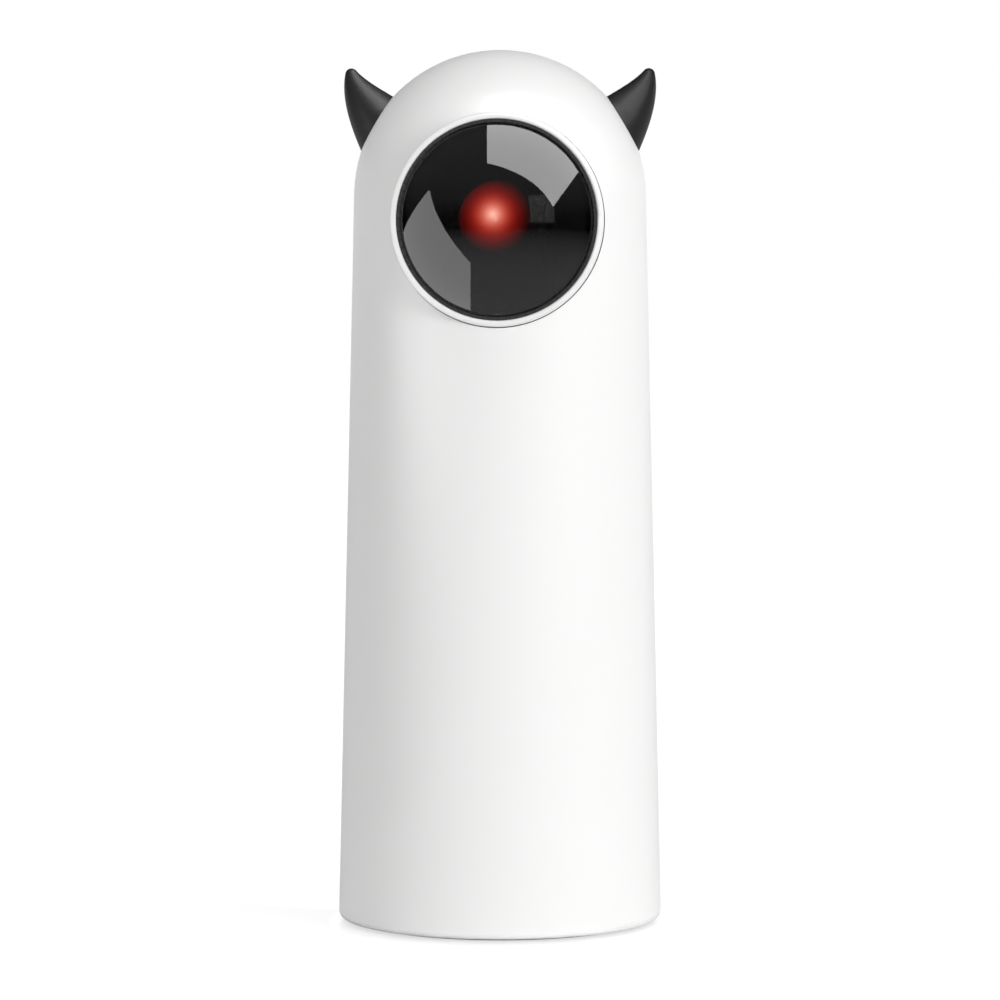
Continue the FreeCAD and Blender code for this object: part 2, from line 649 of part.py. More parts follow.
# Window ring with its tube and snap legs.
def make_eye_bezel():
    body = new_body("eye_bezel")
    seat = lens_rim_radius + size.lens_fit
    revolve(body, "ring_and_tube", "YZ", "H_Axis", outline(
        (ring_plate_front, size.eye_radius), (ring_front, size.eye_radius),
        (ring_front, seat), (lens_seat, seat),
        (lens_seat, ledge_radius), (ledge_back, ledge_radius),
        (ledge_back, tube_bore), (ring_plate_front, tube_bore)),
        at=(0, eye_height, 0))
    soften(body, "outer_rounding", size.ring_round,
           round_edge_at("y", ring_front, size.eye_radius))
    soften(body, "inner_rounding", size.ring_inner_round, round_edge_at("y", ring_front, seat))
    leg_out = size.eye_radius - size.leg_play
    leg_in = leg_out - size.leg_thick
    hook_low = ring_plate_back + size.leg_play
    hook_high = hook_low + size.leg_nose
    half = size.leg_width / 2
    leg = grow(body, "leg", "XZ", ring_plate_front, hook_high,
               block(-half, half, leg_in, leg_out), at=(0, eye_height))
    hook = grow(body, "hook", "XZ", hook_low, hook_high,
                block(-half, half, leg_in - size.leg_hook, leg_out), at=(0, eye_height))
    repeat_round(body, "legs", [leg, hook], 3)


# Smoked window: a dome with a flat rim.
def make_lens_cover():
    body = new_body("lens_cover")
    dome_edge = lens_rim_radius - size.lens_rim_width
    depth = root(size.lens_curve * size.lens_curve - dome_edge * dome_edge)
    centre = lens_front + depth
    inside = size.lens_curve - size.lens_wall
    back_depth = centre - lens_seat
    inner_edge = root(inside * inside - back_depth * back_depth)
    revolve(body, "window", "YZ", "H_Axis", outline(
        (lens_seat, lens_rim_radius), (lens_front, lens_rim_radius),
        (lens_front, dome_edge), (centre - size.lens_curve, 0, size.lens_curve),
        (centre - inside, 0), (lens_seat, inner_edge, -inside)),
        at=(0, eye_height, 0))


# Black tube that hides the white walls behind the window.
def make_light_shroud():
    body = new_body("light_shroud")
    outer = tube_bore - size.shroud_gap
    inner = outer - size.shroud_wall
    revolve(body, "tube", "YZ", "H_Axis", outline(
        (ring_plate_front, outer), (ledge_back, outer),
        (ledge_back, ledge_radius), (ledge_back + size.shroud_wall, ledge_radius),
        (ledge_back + size.shroud_wall, inner), (ring_plate_front, inner)),
        at=(0, eye_height, 0))


# Horns: bent soft cones that sit on the dome, each with a neck and a plug behind the wall.
HORN_STATIONS = 7
STEEPEST_TAPER = 0.8


def seamless_ball(radius, centre):
    """A ball whose seam faces away from the right side."""
    ball = Part.makeSphere(radius, centre)
    ball.rotate(centre, vector(0, 0, 1), 180)
    return ball


def horn_shape(side):
    """One horn; side is 1 for right and -1 for left."""
    angle = math.radians(size.horn_seat_angle)
    start = size.dome_radius - size.horn_sink
    centre = vector(start * math.cos(angle), 0, size.dome_height + start * math.sin(angle))
    rings = []
    step = size.horn_length / (HORN_STATIONS - 1)
    for index in range(HORN_STATIONS):
        part = index / (HORN_STATIONS - 1)
        heading = math.radians(size.horn_lean + size.horn_curl * part ** 3)
        along = vector(math.cos(heading), 0, math.sin(heading))
        shrink = (size.horn_root_radius - size.horn_tip_radius) * part
        radius = size.horn_root_radius - shrink + 4 * size.horn_belly * part * (1 - part)
        if index:
            centre = centre + along * step
        rings.append((vector(centre), along, float(radius)))
    wires = [Part.Wire(Part.makeCircle(radius, middle, along)) for middle, along, radius in rings]
    horn = Part.makeLoft(wires, True, False)
    tip, along, radius = rings[-1]
    slope = min((rings[-2][2] - radius) / step, STEEPEST_TAPER)
    ball = radius / math.sqrt(1 - slope * slope)
    horn = horn.fuse(Part.makeSphere(ball, tip - along * (ball * slope), along))
    dome_centre = vector(0, 0, size.dome_height)
    horn = horn.cut(seamless_ball(size.dome_radius, dome_centre))
    lean_angle = math.radians(horn_axis_angle)
    outward = vector(math.cos(lean_angle), 0, math.sin(lean_angle))
    plug_start = inner_dome - size.plug_thick
    neck = Part.makeCylinder(size.neck_radius, size.dome_radius + size.horn_overlap - plug_start,
                             dome_centre + outward * plug_start, outward)
    plug = Part.makeCylinder(size.plug_radius, size.plug_thick + size.horn_overlap,
                             dome_centre + outward * plug_start, outward)
    plug = plug.common(seamless_ball(inner_dome, dome_centre))
    horn = horn.fuse(neck).fuse(plug).removeSplitter()
    if side < 0:
        horn = horn.mirror(vector(0, 0, 0), vector(1, 0, 0))
    return horn


def solid_of(shape):
    """The one solid of a shape, or the shape itself where it holds several."""
    if len(shape.Solids) == 1:
        return shape.Solids[0]
    return shape


def make_horn(name, side):
    feature = doc.addObject("Part::Feature", name)
    feature.Label = name
    feature.Shape = solid_of(horn_shape(side))
    pieces[name] = feature


# Base plate: floor of the toy with the battery bay and the board rails.
def make_base_plate():
    body = new_body("base_plate")
    grow(body, "floor", "XY", size.plate_lift, plate_top,
         circle(0, 0, foot_outer + size.foot_margin))
    mid = size.bay_back
    grow(body, "bay", "XY", plate_top, bay_top,
         rounded(-bay_half_length, bay_half_length, mid - bay_half_width, mid + bay_half_width,
                 size.bay_round))
    cut(body, "cell_bores", "XY", size.plate_lift, bay_ceiling,
        circle(-size.cell_pitch, mid, bore_radius), circle(0, mid, bore_radius),
        circle(size.cell_pitch, mid, bore_radius))
    lid_half = size.door_half_length + size.door_gap
    lid_side = size.door_half_width + size.door_gap
    cut(body, "door_recess", "XY", size.plate_lift, door_ceiling,
        block(hinge_x + size.knuckle_offset / 2, lid_half, mid - lid_side, mid + lid_side))
    relief = size.cell_pitch + size.strip_width
    cut(body, "strip_relief", "XY", size.plate_lift, strip_top + size.door_gap * 2,
        block(-relief, relief, mid - size.strip_width, mid + size.strip_width))
    knuckle = hinge_radius + size.door_gap
    for name, side in (("front", -1), ("back", 1)):
        near_side = mid + side * (size.knuckle_inner - size.door_gap)
        far_side = mid + side * (size.knuckle_outer + size.door_gap)
        first, last = (near_side, far_side) if side > 0 else (far_side, near_side)
        cut(body, name + "_knuckle_pocket", "XY", size.plate_lift, door_ceiling,
            block(hinge_x - knuckle, -size.door_half_length, first, last))
    cut(body, "pin_bore", "XZ", mid - size.door_pin_half - size.door_gap,
        mid + size.door_pin_half + size.door_gap,
        circle(hinge_x, hinge_z, size.door_pin_radius + size.fit))
    cut(body, "foot_groove", "XY", size.plate_lift, size.plate_lift + size.foot_seat,
        circle(0, 0, foot_outer + size.foot_fit),
        circle(0, 0, foot_inner - size.foot_fit))
    shank = cut(body, "screw_hole", "XY", size.plate_lift, plate_top,
                circle(size.base_screw_reach, 0, size.base_screw_radius + size.head_fit),
                turn=SCREW_TURN)
    head = cut(body, "head_hole", "XY", size.plate_lift, base_head_top,
               circle(size.base_screw_reach, 0, size.base_head_radius + size.head_fit),
               turn=SCREW_TURN)
    repeat_round(body, "screw_holes", [shank, head], 4)
    make_rails(body)
    cut(body, "frame_screw_holes", "XY", bay_top - size.frame_screw_length, bay_top,
        *[circle(across, back, frame_pilot) for across, back in frame_screw_places])


def make_rails(body):
    inner = size.board_half_width - size.rail_grip
    outer = size.board_half_width + size.rail_wall
    front = board_front - size.rail_fit - size.rail_wall
    back = board_back + size.rail_fit + size.rail_wall
    top = plate_top + size.rail_height
    slot = size.board_half_width + size.rail_fit
    for name, side in (("left", -1), ("right", 1)):
        ends = sorted((side * inner, side * outer), key=float)
        grow(body, name + "_rail", "XY", plate_top, top, block(ends[0], ends[1], front, back))
        ends = sorted((side * inner, side * slot), key=float)
        cut(body, name + "_rail_slot", "XY", size.board_low, top,
            block(ends[0], ends[1], board_front - size.rail_fit, board_back + size.rail_fit))


# Foot ring: the soft ring that the toy stands on.
def make_foot_ring():
    body = new_body("foot_ring")
    top = size.plate_lift + size.foot_seat
    revolve(body, "ring", "XZ", "V_Axis", outline(
        (foot_inner, 0), (foot_outer, 0), (foot_outer, top), (foot_inner, top)))
    outer_edge = round_edge_at("z", 0, foot_outer)
    inner_edge = round_edge_at("z", 0, foot_inner)
    soften(body, "rounding", size.foot_round, lambda edge: outer_edge(edge) or inner_edge(edge))


# Battery door: a lid with two hinge knuckles, a pin, a snap tongue and a finger hollow.
def make_battery_door():
    body = new_body("battery_door")
    mid = size.bay_back
    half = size.door_half_length
    grow(body, "lid", "XY", size.plate_lift, door_top,
         block(-half, half, mid - size.door_half_width, mid + size.door_half_width))
    for name, side in (("front", -1), ("back", 1)):
        ends = sorted((mid + side * size.knuckle_inner, mid + side * size.knuckle_outer), key=float)
        grow(body, name + "_knuckle", "XZ", ends[0], ends[1], outline(
            (-half + size.door_gap, size.plate_lift), (-half + size.door_gap, door_top),
            (hinge_x, door_top), (hinge_x - hinge_radius, hinge_z, hinge_radius),
            (hinge_x, size.plate_lift, hinge_radius)))
    grow(body, "pin", "XZ", mid - size.door_pin_half, mid + size.door_pin_half,
         circle(hinge_x, hinge_z, size.door_pin_radius))
    tongue = size.tongue_width / 2
    for name, side in (("front", -1), ("back", 1)):
        ends = sorted((mid + side * tongue, mid + side * (tongue + size.tongue_slit)), key=float)
        cut(body, name + "_slit", "XY", size.plate_lift, door_top,
            block(half - size.tongue_length, half, ends[0], ends[1]))
    cut(body, "finger_hollow", "XY", size.plate_lift, size.plate_lift + size.door_thick / 2,
        block(half - size.tongue_length / 2, half, mid - tongue / 2, mid + tongue / 2))


# Contact strips on the lid: one joins two cells, one serves the third.
def make_battery_contacts():
    body = new_body("battery_contacts")
    mid = size.bay_back
    half = size.strip_width / 2
    grow(body, "strips", "XY", door_top, strip_top,
         block(-size.cell_pitch - half, half, mid - half, mid + half),
         block(size.cell_pitch - half, size.cell_pitch + half, mid - half, mid + half))


# Leaf contacts under the roof of the bay.
def make_battery_springs():
    body = new_body("battery_springs")
    mid = size.bay_back
    half = size.strip_width / 2
    metal = size.strip_thick
    low = cell_high
    leaf = grow(body, "leaf", "XZ", mid - half, mid + half, outline(
        (-half, bay_ceiling - metal), (size.leaf_fold, bay_ceiling - metal),
        (-size.leaf_heel - metal, low + metal), (-size.leaf_heel - metal, low), (half, low),
        (half, low + metal), (-size.leaf_heel + metal, low + metal),
        (size.leaf_fold + metal, bay_ceiling), (-half, bay_ceiling)),
        at=(-size.cell_pitch, 0))
    repeat_line(body, "leaves", [leaf], "H_Axis", size.cell_pitch * 2, 3)


# Battery cells: one outline, turned end for end in the middle bore.
def make_battery_cell(name, across, upright):
    body = new_body(name)
    if upright:
        low, high, button = cell_low, cell_high - size.cell_button, cell_high
    else:
        low, high, button = cell_high, cell_low + size.cell_button, cell_low
    corners = ((0, low), (size.cell_radius, low), (size.cell_radius, high),
               (size.cell_button_radius, high), (size.cell_button_radius, button), (0, button))
    revolve(body, "cell", "XZ", "V_Axis", outline(*corners), at=(across, 0, -size.bay_back))


# Screws: a flat head and a plain shank, drawn as half a section about the screw's own axis.
def screw_outline(head_low, head_high, tip, head_radius, shank_radius):
    """Head between two levels; the shank runs from the second level to the tip."""
    return outline((0, head_low), (head_radius, head_low), (head_radius, head_high),
                   (shank_radius, head_high), (shank_radius, tip), (0, tip))


def screw_group(name, places, section):
    """Equal upright screws at several places, each turned about its own axis."""
    body = new_body(name)
    for number, (across, back) in enumerate(places, start=1):
        revolve(body, "screw_%d" % number, "XZ", "V_Axis", section, at=(across, 0, -back))


def make_base_screws():
    low = base_head_top - size.base_head_thick
    reach = size.base_screw_reach * sine(SCREW_TURN)
    places = [(side * reach, depth * reach) for side in (-1, 1) for depth in (-1, 1)]
    screw_group("base_screws", places, screw_outline(
        low, base_head_top, base_head_top + size.base_screw_length,
        size.base_head_radius, size.base_screw_radius))


def make_frame_screws():
    seat = bay_top + size.foot_plate_thick
    screw_group("frame_screws", frame_screw_places, screw_outline(
        seat + size.frame_head_thick, seat, bay_top - size.frame_screw_length + size.screw_end,
        size.frame_head_radius, size.frame_screw_radius))


# Inner frame: foot plate, channel column, shelf, gussets and the ring that carries the window.
def make_inner_frame():
    body = new_body("inner_frame")
    foot_top = bay_top + size.foot_plate_thick
    front = size.bay_back - bay_half_width + size.bay_wall
    grow(body, "foot_plate", "XY", bay_top, foot_top,
         block(-size.foot_plate_half, size.foot_plate_half, front, size.column_back))
    cut(body, "foot_holes", "XY", bay_top, foot_top,
        *[circle(across, back, frame_pilot) for across, back in frame_screw_places])
    inside = size.column_half - size.frame_wall
    web = size.column_back - size.frame_wall
    grow(body, "column", "XY", foot_top, shelf_low, outline(
        (-size.column_half, size.column_front), (-inside, size.column_front),
        (-inside, web), (inside, web), (inside, size.column_front),
        (size.column_half, size.column_front), (size.column_half, size.column_back),
        (-size.column_half, size.column_back)))
    half = size.window_width / 2
    window = cut(body, "web_window", "XZ", web - size.frame_wall, size.column_back,
                 rounded(-half, half, 0, size.window_height, size.window_round),
                 at=(0, foot_top + size.window_height / 2))
    repeat_line(body, "web_windows", [window], "V_Axis", size.window_pitch * 2, 3)
    grow(body, "shelf", "XY", shelf_low, shelf_top,
         block(-size.shelf_half, size.shelf_half, ring_plate_back, size.column_back))
    rest = ring_plate_back
    grow(body, "ring_plate", "XZ", ring_plate_front, rest,
         circle(0, 0, ring_plate_outer), at=(0, eye_height))
    grow(body, "ring_foot", "XZ", ring_plate_front, rest,
         block(-size.shelf_half, size.shelf_half, shelf_low - size.shelf_thick,
               shelf_top + size.ring_foot_rise))
    cut(body, "ring_opening", "XZ", ring_plate_front, rest,
        circle(0, 0, ring_plate_bore), at=(0, eye_height))
    notch = size.leg_width / 2 + size.leg_play
    leg_notch = cut(body, "leg_notch", "XZ", ring_plate_front, rest,
                    block(-notch, notch, size.eye_radius - size.leg_thick - size.leg_play * 2,
                          ring_plate_outer + size.leg_thick), at=(0, eye_height))
    repeat_round(body, "leg_notches", [leg_notch], 3)
    for name, side in (("left", -1), ("right", 1)):
        ends = sorted((side * inside, side * size.column_half), key=float)
        grow(body, name + "_gusset", "YZ", ends[0], ends[1], outline(
            (size.column_front + size.frame_wall, shelf_low), (rest, shelf_low),
            (rest, shelf_low - size.shelf_thick),
            (size.column_front + size.frame_wall, shelf_low - size.gusset_drop)))
    grow(body, "pivot_boss", "XY", shelf_low - size.pivot_boss_drop, shelf_low,
         circle(0, pan_y, pivot_boss))
    cut(body, "pivot_bore", "XY", shelf_low - size.pivot_boss_drop, shelf_top,
        circle(0, pan_y, size.pivot_radius + size.fit))
    cut(body, "motor_holes", "XY", shelf_low, shelf_top,
        circle(0, motor_y, size.pan_motor_boss + size.screw_fit),
        circle(-size.motor_screw_spread, motor_y, motor_pilot),
        circle(size.motor_screw_spread, motor_y, motor_pilot))


# Main board with its parts, the power inlet and the switch.
def make_main_board():
    body = new_body("main_board")
    grow(body, "board", "XZ", board_front, board_back,
         rounded(-size.board_half_width, size.board_half_width, size.board_low, size.board_high,
                 size.board_round))


def make_board_parts():
    """Controller chip, two capacitors and two plug headers on the front of the board."""
    body = new_body("board_parts")
    face = board_front
    middle = (size.board_low + size.board_high) / 2
    half = size.chip_half
    grow(body, "chip", "XZ", face - size.chip_thick, face,
         block(-half, half, middle - half, middle + half))
    grow(body, "capacitors", "XZ", face - size.can_height, face,
         circle(-size.can_spread, middle - size.can_drop, size.can_radius),
         circle(size.can_spread, middle - size.can_drop, size.can_radius))
    high = size.board_high - size.header_drop
    low = high - size.header_width
    grow(body, "headers", "XZ", face - size.header_height, face,
         block(-size.header_far, -size.header_near, low, high),
         block(size.header_near, size.header_far, low, high))


def make_usb_socket():
    body = new_body("usb_socket")
    across = size.port_half_width
    rise = size.port_half_height
    mouth = wall_outside(size.port_height) - size.port_reach
    grow(body, "shell", "XZ", board_back, mouth,
         rounded(-across, across, -rise, rise, size.port_round), at=(0, size.port_height))
    inner_across = across - size.port_wall
    inner_rise = rise - size.port_wall
    cut(body, "mouth", "XZ", mouth - size.port_depth, mouth,
        rounded(-inner_across, inner_across, -inner_rise, inner_rise,
                size.port_round - size.port_wall),
        at=(0, size.port_height))
    tongue = size.port_tongue_half
    grow(body, "tongue", "XZ", mouth - size.port_depth, mouth - size.port_tongue_drop,
         block(-tongue, tongue, -size.port_wall, size.port_wall), at=(0, size.port_height))


def make_switch():
    body = new_body("switch_body")
    half = size.switch_half
    face = board_back + size.switch_thick
    grow(body, "box", "XZ", board_back, face,
         block(-half, half, size.button_height - half, size.button_height + half))
    cut(body, "stem_bore", "XZ", face - size.stem_seat - size.button_travel - size.stem_room,
        face, circle(0, size.button_height, size.stem_radius + size.fit))
    stem = new_body("switch_stem")
    grow(stem, "stem", "XZ", face - size.stem_seat, face + size.stem_reach,
         circle(0, size.button_height, size.stem_radius))


# Power button: a dished cap with a flange behind the wall.
def make_power_button():
    body = new_body("power_button")
    height = size.button_height
    low = board_back + size.switch_thick + size.stem_reach
    flange_radius = size.button_radius + size.button_flange
    inside = wall_inside(height)
    flange_high = root(inside * inside - flange_radius * flange_radius) - size.button_gap
    flange_low = flange_high - size.button_flange_thick
    face = wall_outside(height) + size.button_proud
    neck = size.stem_radius + size.button_sleeve
    corner = size.button_edge_round
    rim = size.button_radius - size.button_rim
    dish_curve = (rim * rim + size.button_dish * size.button_dish) / (size.button_dish * 2)
    revolve(body, "cap", "YZ", "H_Axis", outline(
        (low, 0), (low, neck), (flange_low, neck),
        (flange_low, flange_radius), (flange_high, flange_radius),
        (flange_high, size.button_radius), (face - corner, size.button_radius),
        (face, size.button_radius - corner, corner), (face, rim),
        (face - size.button_dish, 0, dish_curve)),
        at=(0, height, 0))


# Involute gears: the tooth flanks are arcs through three points of the involute.
TOOTH_TOP = 0.8
TOOTH_ROOT = 1.1


def tooth_half_angle(radius, teeth):
    """Half the angle that a tooth fills at a radius."""
    pitch = size.tooth_size * teeth / 2
    pressure = math.radians(size.pressure_angle)
    base = pitch * math.cos(pressure)
    here = math.acos(min(base / max(radius, base), 1.0))
    half_pitch = math.pi / (2 * teeth) - size.backlash / (4 * pitch)
    return float(half_pitch + (math.tan(pressure) - pressure) - (math.tan(here) - here))


def gear_radii(teeth):
    """Root, flank start and tip radii."""
    pitch = size.tooth_size * teeth / 2
    foot = float(pitch - TOOTH_ROOT * size.tooth_size)
    base = float(pitch * math.cos(math.radians(size.pressure_angle)))
    return foot, max(foot, base), float(pitch + TOOTH_TOP * size.tooth_size)


def polar(radius, angle):
    return vector(radius * math.cos(angle), radius * math.sin(angle), 0)


def tooth_edges(teeth, angle):
    """The edges of one tooth from root to root, turning anticlockwise."""
    foot, start, tip = gear_radii(teeth)
    middle = (start + tip) / 2
    edges = []
    wide = tooth_half_angle(start, teeth)
    half = tooth_half_angle(middle, teeth)
    thin = tooth_half_angle(tip, teeth)
    if start > foot:
        edges.append(Part.LineSegment(polar(foot, angle - wide), polar(start, angle - wide)))
    edges.append(Part.Arc(polar(start, angle - wide), polar(middle, angle - half),
                          polar(tip, angle - thin)))
    edges.append(Part.LineSegment(polar(tip, angle - thin), polar(tip, angle + thin)))
    edges.append(Part.Arc(polar(tip, angle + thin), polar(middle, angle + half),
                          polar(start, angle + wide)))
    if start > foot:
        edges.append(Part.LineSegment(polar(start, angle + wide), polar(foot, angle + wide)))
    return [edge.toShape() for edge in edges]


def gear_shape(teeth, count, first_angle, thick, bore):
    """A gear about +Z with count of its teeth cut, the first at an angle."""
    foot = gear_radii(teeth)[0]
    wide = tooth_half_angle(gear_radii(teeth)[1], teeth)
    pitch_angle = 2 * math.pi / teeth
    edges = []
    for index in range(count):
        angle = math.radians(first_angle) + index * pitch_angle
        edges += tooth_edges(teeth, angle)
        if index < count - 1 or count == teeth:
            edges.append(Part.LineSegment(polar(foot, angle + wide),
                                          polar(foot, angle + pitch_angle - wide)).toShape())
    if count < teeth:
        last = math.radians(first_angle) + (count - 1) * pitch_angle + wide
        first = math.radians(first_angle) - wide
        edges.append(Part.LineSegment(polar(foot, last), vector(0, 0, 0)).toShape())
        edges.append(Part.LineSegment(vector(0, 0, 0), polar(foot, first)).toShape())
    gear = Part.Face(Part.Wire(edges)).extrude(vector(0, 0, thick))
    if bore:
        gear = gear.cut(Part.makeCylinder(bore, thick))
    return solid_of(gear)


def place_gear(name, shape, at, upright=True):
    """Puts a gear down, its axis along +Z or along +X."""
    feature = doc.addObject("Part::Feature", name)
    feature.Label = name
    feature.Shape = shape
    turn = FreeCAD.Rotation()
    if not upright:
        turn = FreeCAD.Rotation(vector(0, 1, 0), vector(0, 0, 1), vector(1, 0, 0), "YZX")
    feature.Placement = FreeCAD.Placement(vector(*[float(v) for v in at]), turn)
    return feature


def make_pan_gears():
    wheel = int(size.wheel_teeth)
    small = int(size.pinion_teeth)
    pieces["pan_gear"] = place_gear(
        "pan_gear", gear_shape(wheel, wheel, 90, size.gear_thick, size.gear_hub),
        (0, pan_y, gear_low))
    pieces["pan_pinion"] = place_gear(
        "pan_pinion", gear_shape(small, small, -90 + 180 / small, size.pinion_thick,
                                 size.pan_shaft_radius), (0, motor_y, gear_low))


def make_pan_motor():
    body = new_body("pan_motor")
    low = shelf_low - size.pan_motor_length
    bore = size.pan_shaft_radius + size.fit
    radius = pan_motor_radius
    nose = shelf_top - size.pan_nose_drop
    corner = size.pan_motor_round
    seat = low + size.pan_shaft_seat
    revolve(body, "can", "XZ", "V_Axis", outline(
        (0, low), (radius - corner, low), (radius, low + corner, corner), (radius, shelf_low),
        (size.pan_motor_boss, shelf_low), (size.pan_motor_boss, nose), (bore, nose),
        (bore, seat), (0, seat)), at=(0, 0, -motor_y))
    cut(body, "screw_bores", "XY", shelf_low - size.motor_screw_bite, shelf_low,
        circle(-size.motor_screw_spread, motor_y, motor_pilot),
        circle(size.motor_screw_spread, motor_y, motor_pilot))
    shaft = new_body("pan_shaft")
    grow(shaft, "rod", "XY", seat + size.shaft_end, gear_low + size.pinion_thick,
         circle(0, motor_y, size.pan_shaft_radius))
    screw_group("pan_motor_screws", [(-size.motor_screw_spread, motor_y),
                                     (size.motor_screw_spread, motor_y)],
                screw_outline(shelf_top + size.motor_head_thick, shelf_top,
                              shelf_low - size.motor_screw_bite + size.screw_end,
                              size.motor_head_radius, size.motor_screw_radius))


# Turning fork with its pivot, and what holds it down.
def make_pan_yoke():
    body = new_body("pan_yoke")
    pivot_low = shelf_low - size.pivot_boss_drop - size.pivot_stand
    pilot = size.pivot_screw_radius + size.screw_fit
    hole_top = pivot_low + size.pivot_screw_length + size.screw_end
    revolve(body, "pivot_and_floor", "XZ", "V_Axis", outline(
        (pilot, pivot_low), (size.pivot_radius, pivot_low), (size.pivot_radius, hub_low),
        (size.gear_hub, hub_low), (size.gear_hub, fork_floor_low), (fork_outer, fork_floor_low),
        (fork_outer, fork_floor_top), (0, fork_floor_top), (0, hole_top), (pilot, hole_top)),
        at=(0, 0, -pan_y))
    half = size.fork_half_depth
    for name, low, high in (("left", -fork_outer, -size.fork_inner),
                            ("right", size.fork_inner, fork_outer)):
        grow(body, name + "_arm", "YZ", low, high,
             block(pan_y - half, pan_y + half, fork_floor_low, eye_height))
        grow(body, name + "_arm_end", "YZ", low, high, circle(pan_y, eye_height, half))
    reach = size.ear_spread + size.ear_radius
    grow(body, "motor_plate", "YZ", size.fork_inner, fork_outer,
         rounded(-reach, reach, -(gear_distance + half), half / 2, size.plate_round),
         at=(pan_y, eye_height), turn=TILT_TURN)
    cut(body, "shaft_holes", "YZ", size.fork_inner, fork_outer,
        circle(0, -gear_distance, size.tilt_shaft_radius + size.head_fit),
        circle(-size.ear_spread, -gear_distance, motor_pilot),
        circle(size.ear_spread, -gear_distance, motor_pilot),
        at=(pan_y, eye_height), turn=TILT_TURN)
    cut(body, "trunnion_bores", "YZ", -fork_outer, fork_outer,
        circle(pan_y, eye_height, size.trunnion_radius + size.fit))


def make_pivot_hardware():
    pivot_low = shelf_low - size.pivot_boss_drop - size.pivot_stand
    thrust = new_body("thrust_washer")
    grow(thrust, "ring", "XY", shelf_top, washer_top, circle(0, pan_y, size.washer_radius),
         circle(0, pan_y, size.pivot_radius + size.fit * 2))
    end = new_body("pivot_washer")
    grow(end, "ring", "XY", pivot_low - size.washer_thick, pivot_low,
         circle(0, pan_y, pivot_boss - size.motor_gap),
         circle(0, pan_y, size.pivot_screw_radius + size.screw_fit))
    seat = pivot_low - size.washer_thick
    screw_group("pivot_screw", [(0, pan_y)], screw_outline(
        seat - size.pivot_head_thick, seat, pivot_low + size.pivot_screw_length,
        size.pivot_head_radius, size.pivot_screw_radius))


# Tilt motor on the fork's right arm, its shaft and pinion, drawn about the tilt axis.
def make_tilt_motor():
    body = new_body("tilt_motor")
    place = (pan_y, eye_height)
    far = fork_outer + size.tilt_motor_length
    down = -gear_distance
    ear = size.ear_spread
    tab = size.ear_radius
    grow(body, "can", "YZ", fork_outer, far, circle(0, down, size.tilt_motor_radius),
         circle(0, down, size.tilt_shaft_radius + size.fit), at=place, turn=TILT_TURN)
    grow(body, "ears", "YZ", fork_outer, fork_outer + size.ear_thick,
         outline((-ear, down - tab, tab), (ear, down - tab), (ear + tab, down, tab),
                 (ear, down + tab, tab), (-ear, down + tab), (-ear - tab, down, tab)),
         at=place, turn=TILT_TURN)
    cut(body, "ear_holes", "YZ", fork_outer, fork_outer + size.ear_thick,
        circle(-ear, down, motor_pilot), circle(ear, down, motor_pilot),
        circle(0, down, size.tilt_shaft_radius + size.fit), at=place, turn=TILT_TURN)
    grow(body, "end_cap", "YZ", far, far + size.tilt_cap_thick,
         circle(0, down, size.tilt_cap_radius), at=place, turn=TILT_TURN)
    shaft = new_body("tilt_shaft")
    grow(shaft, "rod", "YZ", pinion_side, far - size.shaft_end,
         circle(0, down, size.tilt_shaft_radius), at=place, turn=TILT_TURN)
    screws = new_body("tilt_motor_screws")
    head = fork_outer + size.ear_thick
    for name, spot in (("first", -ear), ("second", ear)):
        grow(screws, name + "_shank", "YZ", size.fork_inner, head,
             circle(spot, down, size.motor_screw_radius), at=place, turn=TILT_TURN)
        grow(screws, name + "_head", "YZ", head, head + size.motor_head_thick,
             circle(spot, down, size.motor_head_radius), at=place, turn=TILT_TURN)


def make_tilt_pinion():
    small = int(size.pinion_teeth)
    angle = math.radians(PINION_TURN)
    centre = (pinion_side, pan_y + gear_distance * math.cos(angle),
              eye_height + gear_distance * math.sin(angle))
    shape = gear_shape(small, small, PINION_TURN + 180 + 180 / small, size.pinion_thick,
                       size.tilt_shaft_radius)
    pieces["tilt_pinion"] = place_gear("tilt_pinion", shape, centre, upright=False)


